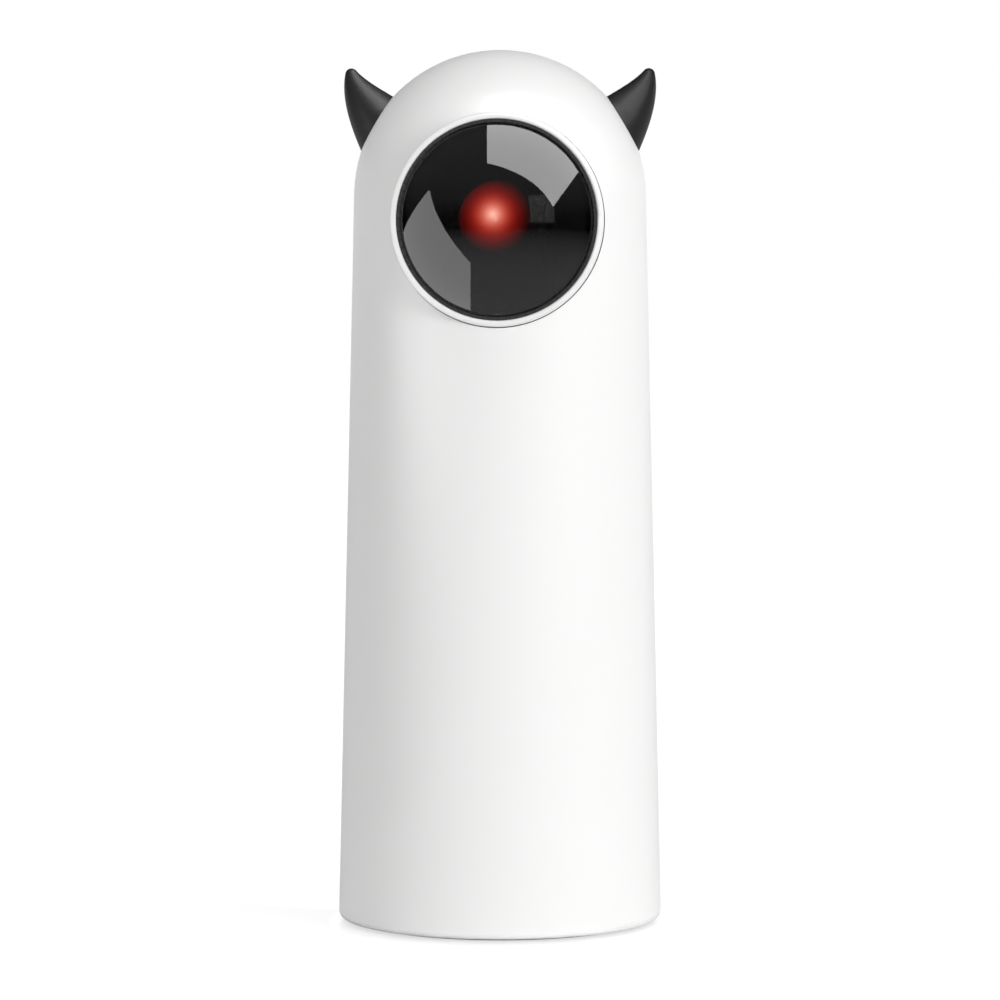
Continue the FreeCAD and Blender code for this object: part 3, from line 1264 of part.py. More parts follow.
# Light head: barrel, trunnions and a toothed sector in one moulding, with its lens,
# the emitter's board and the rear cap.
def make_light_head():
    body = new_body("light_head_barrel")
    front = pan_y - size.barrel_reach
    back = pan_y + size.barrel_back
    seat = front + size.beam_lens_thick
    step = pan_y + size.emitter_back
    wide = size.barrel_bore + size.barrel_step
    revolve(body, "barrel", "YZ", "H_Axis", outline(
        (front, size.barrel_radius), (front, size.beam_lens_radius + size.lens_fit),
        (seat, size.beam_lens_radius + size.lens_fit), (seat, size.barrel_bore),
        (step, size.barrel_bore), (step, wide), (back, wide), (back, size.barrel_waist),
        (front + size.barrel_lip, size.barrel_waist), (front + size.barrel_lip, size.barrel_radius)),
        at=(0, eye_height, 0))
    boss_end = size.fork_inner - size.trunnion_gap
    start = size.barrel_bore + size.trunnion_root
    pin_end = fork_outer - size.trunnion_end
    for name, low, high, pin_low, pin_high in (
            ("left", -boss_end, -start, -pin_end, -boss_end),
            ("right", start, boss_end, boss_end, pin_end)):
        grow(body, name + "_boss", "YZ", low, high, circle(pan_y, eye_height, size.trunnion_boss))
        grow(body, name + "_pin", "YZ", pin_low, pin_high,
             circle(pan_y, eye_height, size.trunnion_radius))
    del pieces["light_head_barrel"]
    first = PINION_TURN - (int(size.sector_teeth) - 1) / 2 * 360 / int(size.wheel_teeth)
    teeth = gear_shape(int(size.wheel_teeth), int(size.sector_teeth), first,
                       size.sector_thick, None)
    sector = place_gear("light_head_sector", teeth, (size.sector_inner, pan_y, eye_height),
                        upright=False)
    whole = doc.addObject("Part::Fuse", "light_head")
    whole.Label = "light_head"
    whole.Base = body
    whole.Tool = sector
    pieces["light_head"] = whole


def make_collimator_lens():
    body = new_body("collimator_lens")
    front = pan_y - size.barrel_reach
    back = front + size.beam_lens_thick
    half = size.beam_lens_radius
    crown = size.beam_lens_crown
    curve = (half * half + crown * crown) / (2 * crown)
    revolve(body, "lens", "YZ", "H_Axis", outline(
        (back, 0), (back, half), (front, half), (front - crown, 0, curve)),
        at=(0, eye_height, 0))


def make_emitter_board():
    body = new_body("emitter_board")
    front = pan_y + size.emitter_back
    back = front + size.emitter_thick
    dome = size.emitter_radius
    rim = size.barrel_bore + size.barrel_step - size.disc_fit
    revolve(body, "disc", "YZ", "H_Axis", outline(
        (back, 0), (back, rim), (front, rim), (front, dome), (front - dome, 0, dome)),
        at=(0, eye_height, 0))


def make_head_cap():
    body = new_body("head_cap")
    plug = pan_y + size.emitter_back + size.emitter_thick
    back = pan_y + size.barrel_back
    far = back + size.cap_thick
    rim = size.barrel_bore + size.barrel_step - size.disc_fit
    corner = size.cap_round
    revolve(body, "cap", "YZ", "H_Axis", outline(
        (plug, size.lead_hole), (plug, rim), (back, rim), (back, size.barrel_waist),
        (far - corner, size.barrel_waist), (far, size.barrel_waist - corner, corner),
        (far, size.lead_hole)), at=(0, eye_height, 0))


make_outer_housing()
make_eye_bezel()
make_lens_cover()
make_light_shroud()
make_horn("right_horn", 1)
make_horn("left_horn", -1)
make_base_plate()
make_foot_ring()
make_battery_door()
make_battery_contacts()
make_battery_springs()
make_battery_cell("battery_cell_1", -size.cell_pitch, True)
make_battery_cell("battery_cell_2", Size(0, "0"), False)
make_battery_cell("battery_cell_3", size.cell_pitch, True)
make_base_screws()
make_frame_screws()
make_inner_frame()
make_main_board()
make_board_parts()
make_usb_socket()
make_switch()
make_power_button()
make_pan_gears()
make_pan_motor()
make_pan_yoke()
make_pivot_hardware()
make_tilt_motor()
make_tilt_pinion()
make_light_head()
make_collimator_lens()
make_emitter_board()
make_head_cap()
doc.recompute()

# Every object has to be sound before anything is written.
faults = [item.Name for item in doc.Objects
          if "Invalid" in item.State or "Error" in item.State]
for label, piece in pieces.items():
    if piece.Shape.isNull() or not piece.Shape.isValid():
        faults.append(label)
if faults:
    raise RuntimeError("unsound objects: " + ", ".join(faults))
for label, piece in pieces.items():
    piece.Shape.exportStep("parts/%s.step" % label)
print("%d pieces written" % len(pieces))
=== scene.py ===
# %% [markdown]
# # An automatic cat laser toy, dressed for its portrait
#
# The toy is a white moulded tower with a smoked, domed window and two soft horns. Its solids come
# packed from CAD, so this script has three jobs: give every solid the finish of the real thing,
# add what CAD leaves out, and set up the studio in which the photograph was taken.
# Everything is in metres. The toy stands on z = 0, its front is -Y and its right side is +X.

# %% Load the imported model
import json
import math

import bpy
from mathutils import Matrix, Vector


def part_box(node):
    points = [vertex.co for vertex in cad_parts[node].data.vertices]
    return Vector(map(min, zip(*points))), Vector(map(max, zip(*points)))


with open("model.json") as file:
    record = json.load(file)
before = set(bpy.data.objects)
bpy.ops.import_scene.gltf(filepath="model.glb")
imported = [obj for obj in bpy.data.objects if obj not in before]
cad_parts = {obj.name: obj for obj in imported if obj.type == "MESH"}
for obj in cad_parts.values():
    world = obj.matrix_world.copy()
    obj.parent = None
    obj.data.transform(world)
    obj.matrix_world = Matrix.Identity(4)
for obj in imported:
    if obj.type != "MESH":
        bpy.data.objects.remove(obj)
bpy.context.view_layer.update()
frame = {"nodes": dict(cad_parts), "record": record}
nodes = frame["nodes"]
slot_of = {part["node"]: part["material_slot"] for part in frame["record"]["subparts"]}
scene = bpy.context.scene
scene.view_settings.view_transform = "Standard"

# %% [markdown]
# ## The camera
#
# A product photographer stands well back with a long lens, so that the tower's sides stay nearly
# straight. The roundness of the foot in the photograph says how high the camera was, and the
# height of the tower in the picture then gives its distance and focal length. The camera stands a
# touch to the right, because the window ring is a little left of the middle of the tower.

# %% Place the camera
CAMERA_DISTANCE = 1.1
CAMERA_HEIGHT = 0.1705
CAMERA_SIDE = math.radians(1.25)
AIM_HEIGHT = 0.1099
SENSOR_WIDTH = 36.0
FOCAL_PIXELS = 4213.5
PHOTO_SIZE = 1000
FAR_CLIP = 30.0

camera_data = bpy.data.cameras.new("portrait")
camera_data.sensor_width = SENSOR_WIDTH
camera_data.lens = FOCAL_PIXELS * SENSOR_WIDTH / PHOTO_SIZE
camera_data.clip_end = FAR_CLIP
camera = bpy.data.objects.new("portrait", camera_data)
scene.collection.objects.link(camera)
scene.camera = camera
camera.location = (CAMERA_DISTANCE * math.sin(CAMERA_SIDE),
                   -CAMERA_DISTANCE * math.cos(CAMERA_SIDE), CAMERA_HEIGHT)
look = Vector((0, 0, AIM_HEIGHT)) - camera.location
camera.rotation_mode = "QUATERNION"
camera.rotation_quaternion = look.to_track_quat("-Z", "Y")
print("focal length", round(camera_data.lens, 1), "mm")

# %% [markdown]
# ## Tools for materials
#
# A finish is a small network of nodes. These helpers add one node, join two sockets, and start a
# material with its Principled shader and the object's own coordinates, which never slide when a
# part moves because the whole part carries them along.

# %% Node helpers
def add_node(tree, kind, **values):
    """Adds a node; a lower-case name is one of its settings, any other is an input socket."""
    node = tree.nodes.new(kind)
    for name, value in values.items():
        if name.islower():
            setattr(node, name, value)
        else:
            node.inputs[name.replace("_", " ")].default_value = value
    return node


def join(tree, source, target):
    """Joins an output socket to an input socket."""
    tree.links.new(source, target)


def new_finish(name):
    """A material with its tree, its shader and the object's own coordinates."""
    material = bpy.data.materials.new(name)
    material.use_nodes = True
    tree = material.node_tree
    shader = tree.nodes["Principled BSDF"]
    place = add_node(tree, "ShaderNodeTexCoord").outputs["Object"]
    return material, tree, shader, place


def colour(red, green, blue):
    """An opaque colour for a socket."""
    return (red, green, blue, 1.0)


# %% [markdown]
# ### Moulded skin
#
# An injection mould is spark-eroded or sanded, and its fine grain comes out on every plastic part.
# The wall also cools unevenly, which leaves very faint clouds in tone. One node group makes both
# from noise and hands out a colour, a roughness and a height, and every plastic and rubber uses it
# with its own numbers.

# %% The moulded skin group
GRAIN_SCALE = 2500.0
GRAIN_DEPTH = 0.00002
CLOUD_SCALE = 18.0
SURFACE_OUTPUTS = [("Colour", "NodeSocketColor"), ("Roughness", "NodeSocketFloat"),
                   ("Height", "NodeSocketFloat")]


def group_sockets(group, inputs, outputs):
    """Names a group's inputs and outputs; an input is (name, kind, value)."""
    for name, kind, value in inputs:
        socket = group.interface.new_socket(name, in_out="INPUT", socket_type=kind)
        if value is not None:
            socket.default_value = value
    for name, kind in outputs:
        group.interface.new_socket(name, in_out="OUTPUT", socket_type=kind)
    return group.nodes.new("NodeGroupInput"), group.nodes.new("NodeGroupOutput")


def spread(tree, factor, low, high):
    """Maps a factor of 0 to 1 onto a range held by two sockets."""
    mixed = add_node(tree, "ShaderNodeMix", data_type="FLOAT")
    join(tree, factor, mixed.inputs["Factor"])
    join(tree, low, mixed.inputs["A"])
    join(tree, high, mixed.inputs["B"])
    return mixed.outputs["Result"]


def mix_colours(tree, factor, first, second):
    """Mixes two colours, each a plain value or a socket."""
    mixed = add_node(tree, "ShaderNodeMix", data_type="RGBA")
    join(tree, factor, mixed.inputs["Factor"])
    for socket, value in ((mixed.inputs[6], first), (mixed.inputs[7], second)):
        if isinstance(value, tuple):
            socket.default_value = value
        else:
            join(tree, value, socket)
    return mixed.outputs[2]


moulded_skin = bpy.data.node_groups.new("moulded skin", "ShaderNodeTree")
skin_in, skin_out = group_sockets(
    moulded_skin,
    [("Place", "NodeSocketVector", None),
     ("Grain", "NodeSocketFloat", GRAIN_SCALE),
     ("Clouds", "NodeSocketFloat", CLOUD_SCALE),
     ("Tone A", "NodeSocketColor", colour(0.8, 0.8, 0.8)),
     ("Tone B", "NodeSocketColor", colour(0.82, 0.82, 0.82)),
     ("Smooth", "NodeSocketFloat", 0.35),
     ("Rough", "NodeSocketFloat", 0.45)],
    SURFACE_OUTPUTS)
grain = add_node(moulded_skin, "ShaderNodeTexNoise", Detail=3.0, Roughness=0.6)
clouds = add_node(moulded_skin, "ShaderNodeTexNoise", Detail=2.0)
for noise, size in ((grain, "Grain"), (clouds, "Clouds")):
    join(moulded_skin, skin_in.outputs["Place"], noise.inputs["Vector"])
    join(moulded_skin, skin_in.outputs[size], noise.inputs["Scale"])
join(moulded_skin, mix_colours(moulded_skin, clouds.outputs["Fac"], skin_in.outputs["Tone A"],
                               skin_in.outputs["Tone B"]), skin_out.inputs["Colour"])
join(moulded_skin, spread(moulded_skin, grain.outputs["Fac"], skin_in.outputs["Smooth"],
                          skin_in.outputs["Rough"]), skin_out.inputs["Roughness"])
join(moulded_skin, grain.outputs["Fac"], skin_out.inputs["Height"])


def raise_skin(tree, shader, height, depth, strength=1.0):
    """Turns a height into the shader's normal; depth is in metres."""
    bump = add_node(tree, "ShaderNodeBump", Strength=strength, Distance=depth)
    join(tree, height, bump.inputs["Height"])
    join(tree, bump.outputs["Normal"], shader.inputs["Normal"])


def place_surface(tree, place, group, tone_a, tone_b, smooth, rough, **more):
    """Puts a surface group in a finish; more are plain numbers for its other inputs."""
    surface = add_node(tree, "ShaderNodeGroup", node_tree=group, Tone_A=colour(*tone_a),
                       Tone_B=colour(*tone_b), Smooth=smooth, Rough=rough, **more)
    join(tree, place, surface.inputs["Place"])
    return surface


def wear(tree, shader, surface):
    """Gives a shader the colour and the roughness of a surface group."""
    join(tree, surface.outputs["Colour"], shader.inputs["Base Color"])
    join(tree, surface.outputs["Roughness"], shader.inputs["Roughness"])


def moulded(name, tone_a, tone_b, smooth, rough, grain_scale=GRAIN_SCALE, depth=GRAIN_DEPTH,
            **settings):
    """A plastic or rubber finish; settings are plain numbers for the shader's own sockets."""
    material, tree, shader, place = new_finish(name)
    skin = place_surface(tree, place, moulded_skin, tone_a, tone_b, smooth, rough,
                         Grain=grain_scale)
    wear(tree, shader, skin)
    raise_skin(tree, shader, skin.outputs["Height"], depth)
    for socket, value in settings.items():
        shader.inputs[socket.replace("_", " ")].default_value = value
    return material


# %% [markdown]
# ### Drawn and turned metal
#
# Screws, cans, shafts and contacts are small but they catch light. Drawing and turning leave fine
# lines that run one way, so the group stretches a noise along the part and uses it for tone,
# roughness and a whisper of relief.

# %% The drawn metal group
METAL_STRETCH = 14.0
METAL_LINES = 420.0
METAL_SMOOTH = 0.22
METAL_ROUGH = 0.42
METAL_RELIEF = 0.00001
METAL_RELIEF_SHARE = 0.5

drawn_metal = bpy.data.node_groups.new("drawn metal", "ShaderNodeTree")
metal_in, metal_out = group_sockets(
    drawn_metal,
    [("Place", "NodeSocketVector", None),
     ("Tone A", "NodeSocketColor", colour(0.6, 0.6, 0.6)),
     ("Tone B", "NodeSocketColor", colour(0.7, 0.7, 0.7)),
     ("Smooth", "NodeSocketFloat", METAL_SMOOTH),
     ("Rough", "NodeSocketFloat", METAL_ROUGH)],
    SURFACE_OUTPUTS)
stretch = add_node(drawn_metal, "ShaderNodeMapping", Scale=(1.0, 1.0, METAL_STRETCH))
lines = add_node(drawn_metal, "ShaderNodeTexNoise", Scale=METAL_LINES, Detail=3.0)
join(drawn_metal, metal_in.outputs["Place"], stretch.inputs["Vector"])
join(drawn_metal, stretch.outputs["Vector"], lines.inputs["Vector"])
join(drawn_metal, mix_colours(drawn_metal, lines.outputs["Fac"], metal_in.outputs["Tone A"],
                              metal_in.outputs["Tone B"]), metal_out.inputs["Colour"])
join(drawn_metal, spread(drawn_metal, lines.outputs["Fac"], metal_in.outputs["Smooth"],
                         metal_in.outputs["Rough"]), metal_out.inputs["Roughness"])
join(drawn_metal, lines.outputs["Fac"], metal_out.inputs["Height"])


def metal(name, tone_a, tone_b, smooth=METAL_SMOOTH, rough=METAL_ROUGH):
    """A metal finish with fine lines along the part."""
    material, tree, shader, place = new_finish(name)
    shader.inputs["Metallic"].default_value = 1.0
    surface = place_surface(tree, place, drawn_metal, tone_a, tone_b, smooth, rough)
    wear(tree, shader, surface)
    raise_skin(tree, shader, surface.outputs["Height"], METAL_RELIEF, METAL_RELIEF_SHARE)
    return material


# %% [markdown]
# ## The finishes of this toy
#
# The housing is bright white ABS with a satin skin, the ring round the window is the same plastic
# from a smoother mould, and the horns are soft charcoal rubber that drinks most of the light.

# %% Plastics, rubbers and metals
HEAD_TONE_A = (0.012, 0.012, 0.012)
HEAD_TONE_B = (0.018, 0.018, 0.018)
HEAD_SMOOTH = 0.4
HEAD_ROUGH = 0.5

finishes = {
    "housing_white": moulded("satin white housing", (0.9, 0.9, 0.895), (0.915, 0.915, 0.91),
                             0.36, 0.46, depth=0.000012, Specular_IOR_Level=0.3),
    "ring_white": moulded("smooth white ring", (0.91, 0.91, 0.905), (0.925, 0.925, 0.92),
                          0.26, 0.34, depth=0.000006),
    "button_white": moulded("button white", (0.84, 0.84, 0.835), (0.86, 0.86, 0.855), 0.3, 0.4),
    "plate_white": moulded("grained white plate", (0.82, 0.82, 0.815), (0.85, 0.85, 0.845),
                           0.45, 0.6, grain_scale=1500.0, depth=0.00004),
    "horn_rubber": moulded("charcoal horn rubber", (0.014, 0.014, 0.0145), (0.019, 0.019, 0.0195),
                           0.38, 0.48, grain_scale=3200.0, Specular_IOR_Level=0.25),
    "foot_rubber": moulded("black foot rubber", (0.014, 0.014, 0.014), (0.022, 0.022, 0.022),
                           0.6, 0.75, grain_scale=1800.0),
    "shroud_black": moulded("matt black shroud", (0.006, 0.006, 0.006), (0.009, 0.009, 0.009),
                            0.6, 0.75),
    "head_black": moulded("black light head", HEAD_TONE_A, HEAD_TONE_B, HEAD_SMOOTH, HEAD_ROUGH),
    "fork_grey": moulded("dark fork", (0.05, 0.05, 0.054), (0.06, 0.06, 0.064), 0.4, 0.52),
    "frame_grey": moulded("grey inner frame", (0.3, 0.31, 0.33), (0.34, 0.35, 0.37), 0.45, 0.58),
    "parts_black": moulded("moulded chip black", (0.012, 0.012, 0.013), (0.02, 0.02, 0.021),
                           0.45, 0.6),
    "gear_cream": moulded("cream gear resin", (0.76, 0.71, 0.57), (0.8, 0.75, 0.62), 0.32, 0.42),
    "contact_metal": metal("nickel contact", (0.62, 0.6, 0.56), (0.7, 0.68, 0.64), 0.18, 0.34),
    "screw_steel": metal("zinc steel", (0.5, 0.51, 0.53), (0.62, 0.63, 0.65)),
    "port_metal": metal("stamped inlet shell", (0.58, 0.58, 0.59), (0.68, 0.68, 0.69), 0.2, 0.36),
    "motor_steel": metal("motor can steel", (0.5, 0.5, 0.52), (0.58, 0.58, 0.6), 0.26, 0.44),
    "pinion_brass": metal("cut brass", (0.66, 0.47, 0.2), (0.76, 0.57, 0.28), 0.2, 0.36),
}
print(len(finishes), "plain finishes")

# %% [markdown]
# ### The smoked window
#
# The window is clear plastic with a lot of black dye. Light crosses its skin on the way in and on
# the way out, so a dark tint on a see-through shader hides the works and still lets the red light
# out. Its mirror-like skin gives the pale reflections of the lamps.

# %% Smoked window
SMOKE_TINT = 0.06
SMOKE_THICK = (1.0, 0.98, 0.97)
SMOKE_THIN = (1.08, 1.05, 1.04)
WINDOW_SMOOTH = 0.015
WINDOW_ROUGH = 0.03
WINDOW_GRAIN = 60.0
ACRYLIC_IOR = 1.49

smoked, tree, shader, place = new_finish("smoked window")
shader.inputs["Transmission Weight"].default_value = 1.0
shader.inputs["IOR"].default_value = ACRYLIC_IOR
smoke_tones = [[SMOKE_TINT * part for part in tone] for tone in (SMOKE_THICK, SMOKE_THIN)]
wear(tree, shader, place_surface(tree, place, moulded_skin, *smoke_tones, WINDOW_SMOOTH,
                                 WINDOW_ROUGH, Grain=WINDOW_GRAIN))
finishes["smoked_lens"] = smoked

# %% [markdown]
# ### The glowing lens
#
# Behind the window sits the light head, whose small lens glows red. The glow is almost white in the
# middle, then bright red, then dark red, and some of it spills on the matt face of the head. Each
# colour fades with the distance from one point on the lens, red the slowest. A little is taken off
# red, so that it is gone before the rim of the head. The group works this out, and both the lens
# and the head use it.

# %% Red glow
GLOW_SHIFT = (-0.0013, 0.0015)
GLOW_STRENGTH = 18.5
GLOW_FALL = 1.4
GLOW_COLOURS = (("Red", 1.0, 4.15, 0.036), ("Green", 0.49, 1.97, 0.0), ("Blue", 0.39, 1.85, 0.0))
MILLIMETRE = 0.001

lens_low, lens_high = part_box("collimator_lens")
lens_middle = [(low + high) / 2 for low, high in zip(lens_low, lens_high)]
red_glow = bpy.data.node_groups.new("red glow", "ShaderNodeTree")
glow_in, glow_out = group_sockets(red_glow, [("Place", "NodeSocketVector", None)],
                                  [("Colour", "NodeSocketColor")])
centre_glow = add_node(red_glow, "ShaderNodeMapping", vector_type="TEXTURE",
                       Location=(lens_middle[0] + GLOW_SHIFT[0], lens_low[1],
                                 lens_middle[2] + GLOW_SHIFT[1]),
                       Scale=(MILLIMETRE, MILLIMETRE, MILLIMETRE))
distance = add_node(red_glow, "ShaderNodeVectorMath", operation="LENGTH")
fall = add_node(red_glow, "ShaderNodeMath", operation="POWER")
fall.inputs[1].default_value = GLOW_FALL
join(red_glow, glow_in.outputs["Place"], centre_glow.inputs["Vector"])
join(red_glow, centre_glow.outputs["Vector"], distance.inputs[0])
join(red_glow, distance.outputs["Value"], fall.inputs[0])
gathered = add_node(red_glow, "ShaderNodeCombineColor")
for channel, peak, reach, faded in GLOW_COLOURS:
    drop = add_node(red_glow, "ShaderNodeMath", operation="MULTIPLY")
    drop.inputs[1].default_value = -1 / reach ** GLOW_FALL
    join(red_glow, fall.outputs["Value"], drop.inputs[0])
    fade = add_node(red_glow, "ShaderNodeMath", operation="EXPONENT")
    join(red_glow, drop.outputs["Value"], fade.inputs[0])
    level = add_node(red_glow, "ShaderNodeMath", operation="MULTIPLY_ADD", use_clamp=True)
    level.inputs[1].default_value = peak
    level.inputs[2].default_value = -faded
    join(red_glow, fade.outputs["Value"], level.inputs[0])
    join(red_glow, level.outputs["Value"], gathered.inputs[channel])
join(red_glow, gathered.outputs["Color"], glow_out.inputs["Colour"])


def add_glow(material, place):
    """Lets a finish shine with the red glow."""
    tree = material.node_tree
    shader = tree.nodes["Principled BSDF"]
    group = add_node(tree, "ShaderNodeGroup", node_tree=red_glow)
    join(tree, place, group.inputs["Place"])
    join(tree, group.outputs["Colour"], shader.inputs["Emission Color"])
    shader.inputs["Emission Strength"].default_value = GLOW_STRENGTH


# %% [markdown]
# The lens is red and polished, and the face of the head round it is matt black. Both take the glow
# as their emission, so that it spreads over the edge between them.

# %% Glowing lens and lit head
LENS_RED = colour(0.3, 0.02, 0.02)
LENS_ROUGH = 0.15

glow, tree, shader, place = new_finish("glowing red lens")
shader.inputs["Base Color"].default_value = LENS_RED
shader.inputs["Roughness"].default_value = LENS_ROUGH
add_glow(glow, place)
finishes["beam_lens"] = glow

lit_head = moulded("lit face of the light head", HEAD_TONE_A, HEAD_TONE_B, HEAD_SMOOTH, HEAD_ROUGH)
add_glow(lit_head, add_node(lit_head.node_tree, "ShaderNodeTexCoord").outputs["Object"])

# %% [markdown]
# ### Battery wraps
#
# A battery is a steel can in a printed sleeve. This one carries no lettering: a dark blue body, a
# copper band at the positive end and bare metal at both ends. The ends are found by where the
# surface points, and the band by its height.

# %% Battery wraps
CELL_BAND = 0.013
CELL_END_SLOPE = 0.8
CELL_BLUE_A = (0.012, 0.03, 0.075)
CELL_BLUE_B = (0.016, 0.038, 0.09)
CELL_SMOOTH = 0.16
CELL_ROUGH = 0.26
CELL_COPPER = colour(0.55, 0.26, 0.1)
CELL_STEEL = colour(0.6, 0.6, 0.6)


def cell_wrap(name, upright):
    """The wrap of one cell, whose positive end is at the top when it stands upright."""
    material, tree, shader, place = new_finish(name)
    low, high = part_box(name)
    split = high[2] - CELL_BAND if upright else low[2] + CELL_BAND
    parts = add_node(tree, "ShaderNodeSeparateXYZ")
    join(tree, place, parts.inputs["Vector"])
    band = add_node(tree, "ShaderNodeMath",
                    operation="GREATER_THAN" if upright else "LESS_THAN")
    band.inputs[1].default_value = split
    join(tree, parts.outputs["Z"], band.inputs[0])
    facing = add_node(tree, "ShaderNodeNewGeometry")
    normal = add_node(tree, "ShaderNodeSeparateXYZ")
    join(tree, facing.outputs["Normal"], normal.inputs["Vector"])
    steep = add_node(tree, "ShaderNodeMath", operation="ABSOLUTE")
    join(tree, normal.outputs["Z"], steep.inputs[0])
    bare = add_node(tree, "ShaderNodeMath", operation="GREATER_THAN")
    bare.inputs[1].default_value = CELL_END_SLOPE
    join(tree, steep.outputs["Value"], bare.inputs[0])
    skin = place_surface(tree, place, moulded_skin, CELL_BLUE_A, CELL_BLUE_B, CELL_SMOOTH,
                         CELL_ROUGH)
    sleeve = mix_colours(tree, band.outputs["Value"], skin.outputs["Colour"], CELL_COPPER)
    painted = mix_colours(tree, bare.outputs["Value"], sleeve, CELL_STEEL)
    join(tree, painted, shader.inputs["Base Color"])
    join(tree, skin.outputs["Roughness"], shader.inputs["Roughness"])
    join(tree, bare.outputs["Value"], shader.inputs["Metallic"])
    return material


own_finishes = {"light_head": lit_head,
                "battery_cell_1": cell_wrap("battery_cell_1", True),
                "battery_cell_2": cell_wrap("battery_cell_2", False),
                "battery_cell_3": cell_wrap("battery_cell_3", True)}

# %% [markdown]
# ### The circuit board
#
# A board is glass cloth under green lacquer. Copper tracks show through as lighter green lines, and
# bare tinned pads are dots. A brick pattern gives the tracks and a cell pattern gives the pads.

# %% Circuit board
TRACK_SCALE = 110.0
TRACK_GAP = 0.045
TRACK_LENGTH = 0.9
TRACK_STEP = 0.31
LACQUER_A = colour(0.012, 0.09, 0.04)
LACQUER_B = colour(0.014, 0.1, 0.045)
TRACK_GREEN = colour(0.03, 0.2, 0.09)
PAD_SCALE = 260.0
PAD_RADIUS = 0.16
PAD_TIN = colour(0.55, 0.54, 0.5)
BOARD_ROUGH = 0.3

board, tree, shader, place = new_finish("green circuit board")
turn_board = add_node(tree, "ShaderNodeMapping", Rotation=(math.radians(90), 0, 0))
join(tree, place, turn_board.inputs["Vector"])
tracks = add_node(tree, "ShaderNodeTexBrick", Scale=TRACK_SCALE, Mortar_Size=TRACK_GAP,
                  Brick_Width=TRACK_LENGTH, Row_Height=TRACK_STEP, Color1=LACQUER_A,
                  Color2=LACQUER_B, Mortar=TRACK_GREEN)
pads = add_node(tree, "ShaderNodeTexVoronoi", Scale=PAD_SCALE)
pad_mask = add_node(tree, "ShaderNodeMath", operation="LESS_THAN")
pad_mask.inputs[1].default_value = PAD_RADIUS
join(tree, turn_board.outputs["Vector"], tracks.inputs["Vector"])
join(tree, turn_board.outputs["Vector"], pads.inputs["Vector"])
join(tree, pads.outputs["Distance"], pad_mask.inputs[0])
join(tree, mix_colours(tree, pad_mask.outputs["Value"], tracks.outputs["Color"], PAD_TIN),
     shader.inputs["Base Color"])
join(tree, pad_mask.outputs["Value"], shader.inputs["Metallic"])
shader.inputs["Roughness"].default_value = BOARD_ROUGH
finishes["board_green"] = board

# %% [markdown]
# ## Dress the solids
#
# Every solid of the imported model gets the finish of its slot. Its shape stays as it is.

# %% Dress the solids
for name, thing in nodes.items():
    finish = own_finishes.get(name) or finishes[slot_of[name]]
    thing.data.materials.clear()
    thing.data.materials.append(finish)
print("dressed", len(nodes), "solids")

# %% [markdown]
# The window and the small lens are turned shapes whose facets meet in one point on the axis. Their
# normals are worked out afresh there, so that this point doesn't show as a dent in the polish.

# %% Smooth poles
SHARP_EDGE = math.radians(35)
for name in ("lens_cover", "collimator_lens"):
    bpy.ops.object.select_all(action="DESELECT")
    nodes[name].select_set(True)
    bpy.context.view_layer.objects.active = nodes[name]
    bpy.ops.mesh.customdata_custom_splitnormals_clear()
    bpy.ops.object.shade_smooth_by_angle(angle=SHARP_EDGE)
    print("smoothed", name)

# %% [markdown]
# ## The studio
#
# The toy stands on a white sweep, so well lit that it burns out to plain white in the picture and
# only the narrow shadow round the foot stays. For the camera the floor therefore shines by itself
# and takes less of the light. It is also a little glossy, which gives the faint mirror image of the
# foot in front of it. From below it is clear, so that the underside and the open lid can be seen.

# %% Floor
FLOOR_SIZE = 12.0
FLOOR_WHITE = 0.5
FLOOR_SEEN = 0.35
FLOOR_LIFT = 0.86
FLOOR_MIRROR_LIFT = 0.05
FLOOR_GLOSS = 0.24
FLOOR_ROUGH = 0.8
FLOOR_POLISH = 0.1

bpy.ops.object.select_all(action="DESELECT")
bpy.ops.mesh.primitive_plane_add(size=FLOOR_SIZE, location=(0, 0, 0))
floor = bpy.context.object
floor.name = "floor"
sweep, tree, shader, _ = new_finish("white sweep")
seen = add_node(tree, "ShaderNodeLightPath")
join(tree, mix_colours(tree, seen.outputs["Is Camera Ray"],
                       colour(FLOOR_WHITE, FLOOR_WHITE, FLOOR_WHITE),
                       colour(FLOOR_SEEN, FLOOR_SEEN, FLOOR_SEEN)), shader.inputs["Base Color"])
shader.inputs["Roughness"].default_value = FLOOR_ROUGH
shader.inputs["Specular IOR Level"].default_value = 0.0
direct = add_node(tree, "ShaderNodeMath", operation="MAXIMUM")
join(tree, seen.outputs["Is Camera Ray"], direct.inputs[0])
join(tree, seen.outputs["Is Transmission Ray"], direct.inputs[1])
mirror_lift = add_node(tree, "ShaderNodeMath", operation="MULTIPLY")
mirror_lift.inputs[1].default_value = FLOOR_MIRROR_LIFT
join(tree, seen.outputs["Is Glossy Ray"], mirror_lift.inputs[0])
lift = add_node(tree, "ShaderNodeMath", operation="MULTIPLY_ADD")
lift.inputs[1].default_value = FLOOR_LIFT
join(tree, direct.outputs["Value"], lift.inputs[0])
join(tree, mirror_lift.outputs["Value"], lift.inputs[2])
shader.inputs["Emission Color"].default_value = colour(1, 1, 1)
join(tree, lift.outputs["Value"], shader.inputs["Emission Strength"])
gloss = add_node(tree, "ShaderNodeBsdfGlossy", Roughness=FLOOR_POLISH)
blend = add_node(tree, "ShaderNodeMixShader")
blend.inputs["Fac"].default_value = FLOOR_GLOSS
join(tree, shader.outputs["BSDF"], blend.inputs[1])
join(tree, gloss.outputs["BSDF"], blend.inputs[2])
underside = add_node(tree, "ShaderNodeNewGeometry")
clear = add_node(tree, "ShaderNodeBsdfTransparent")
from_below = add_node(tree, "ShaderNodeMixShader")
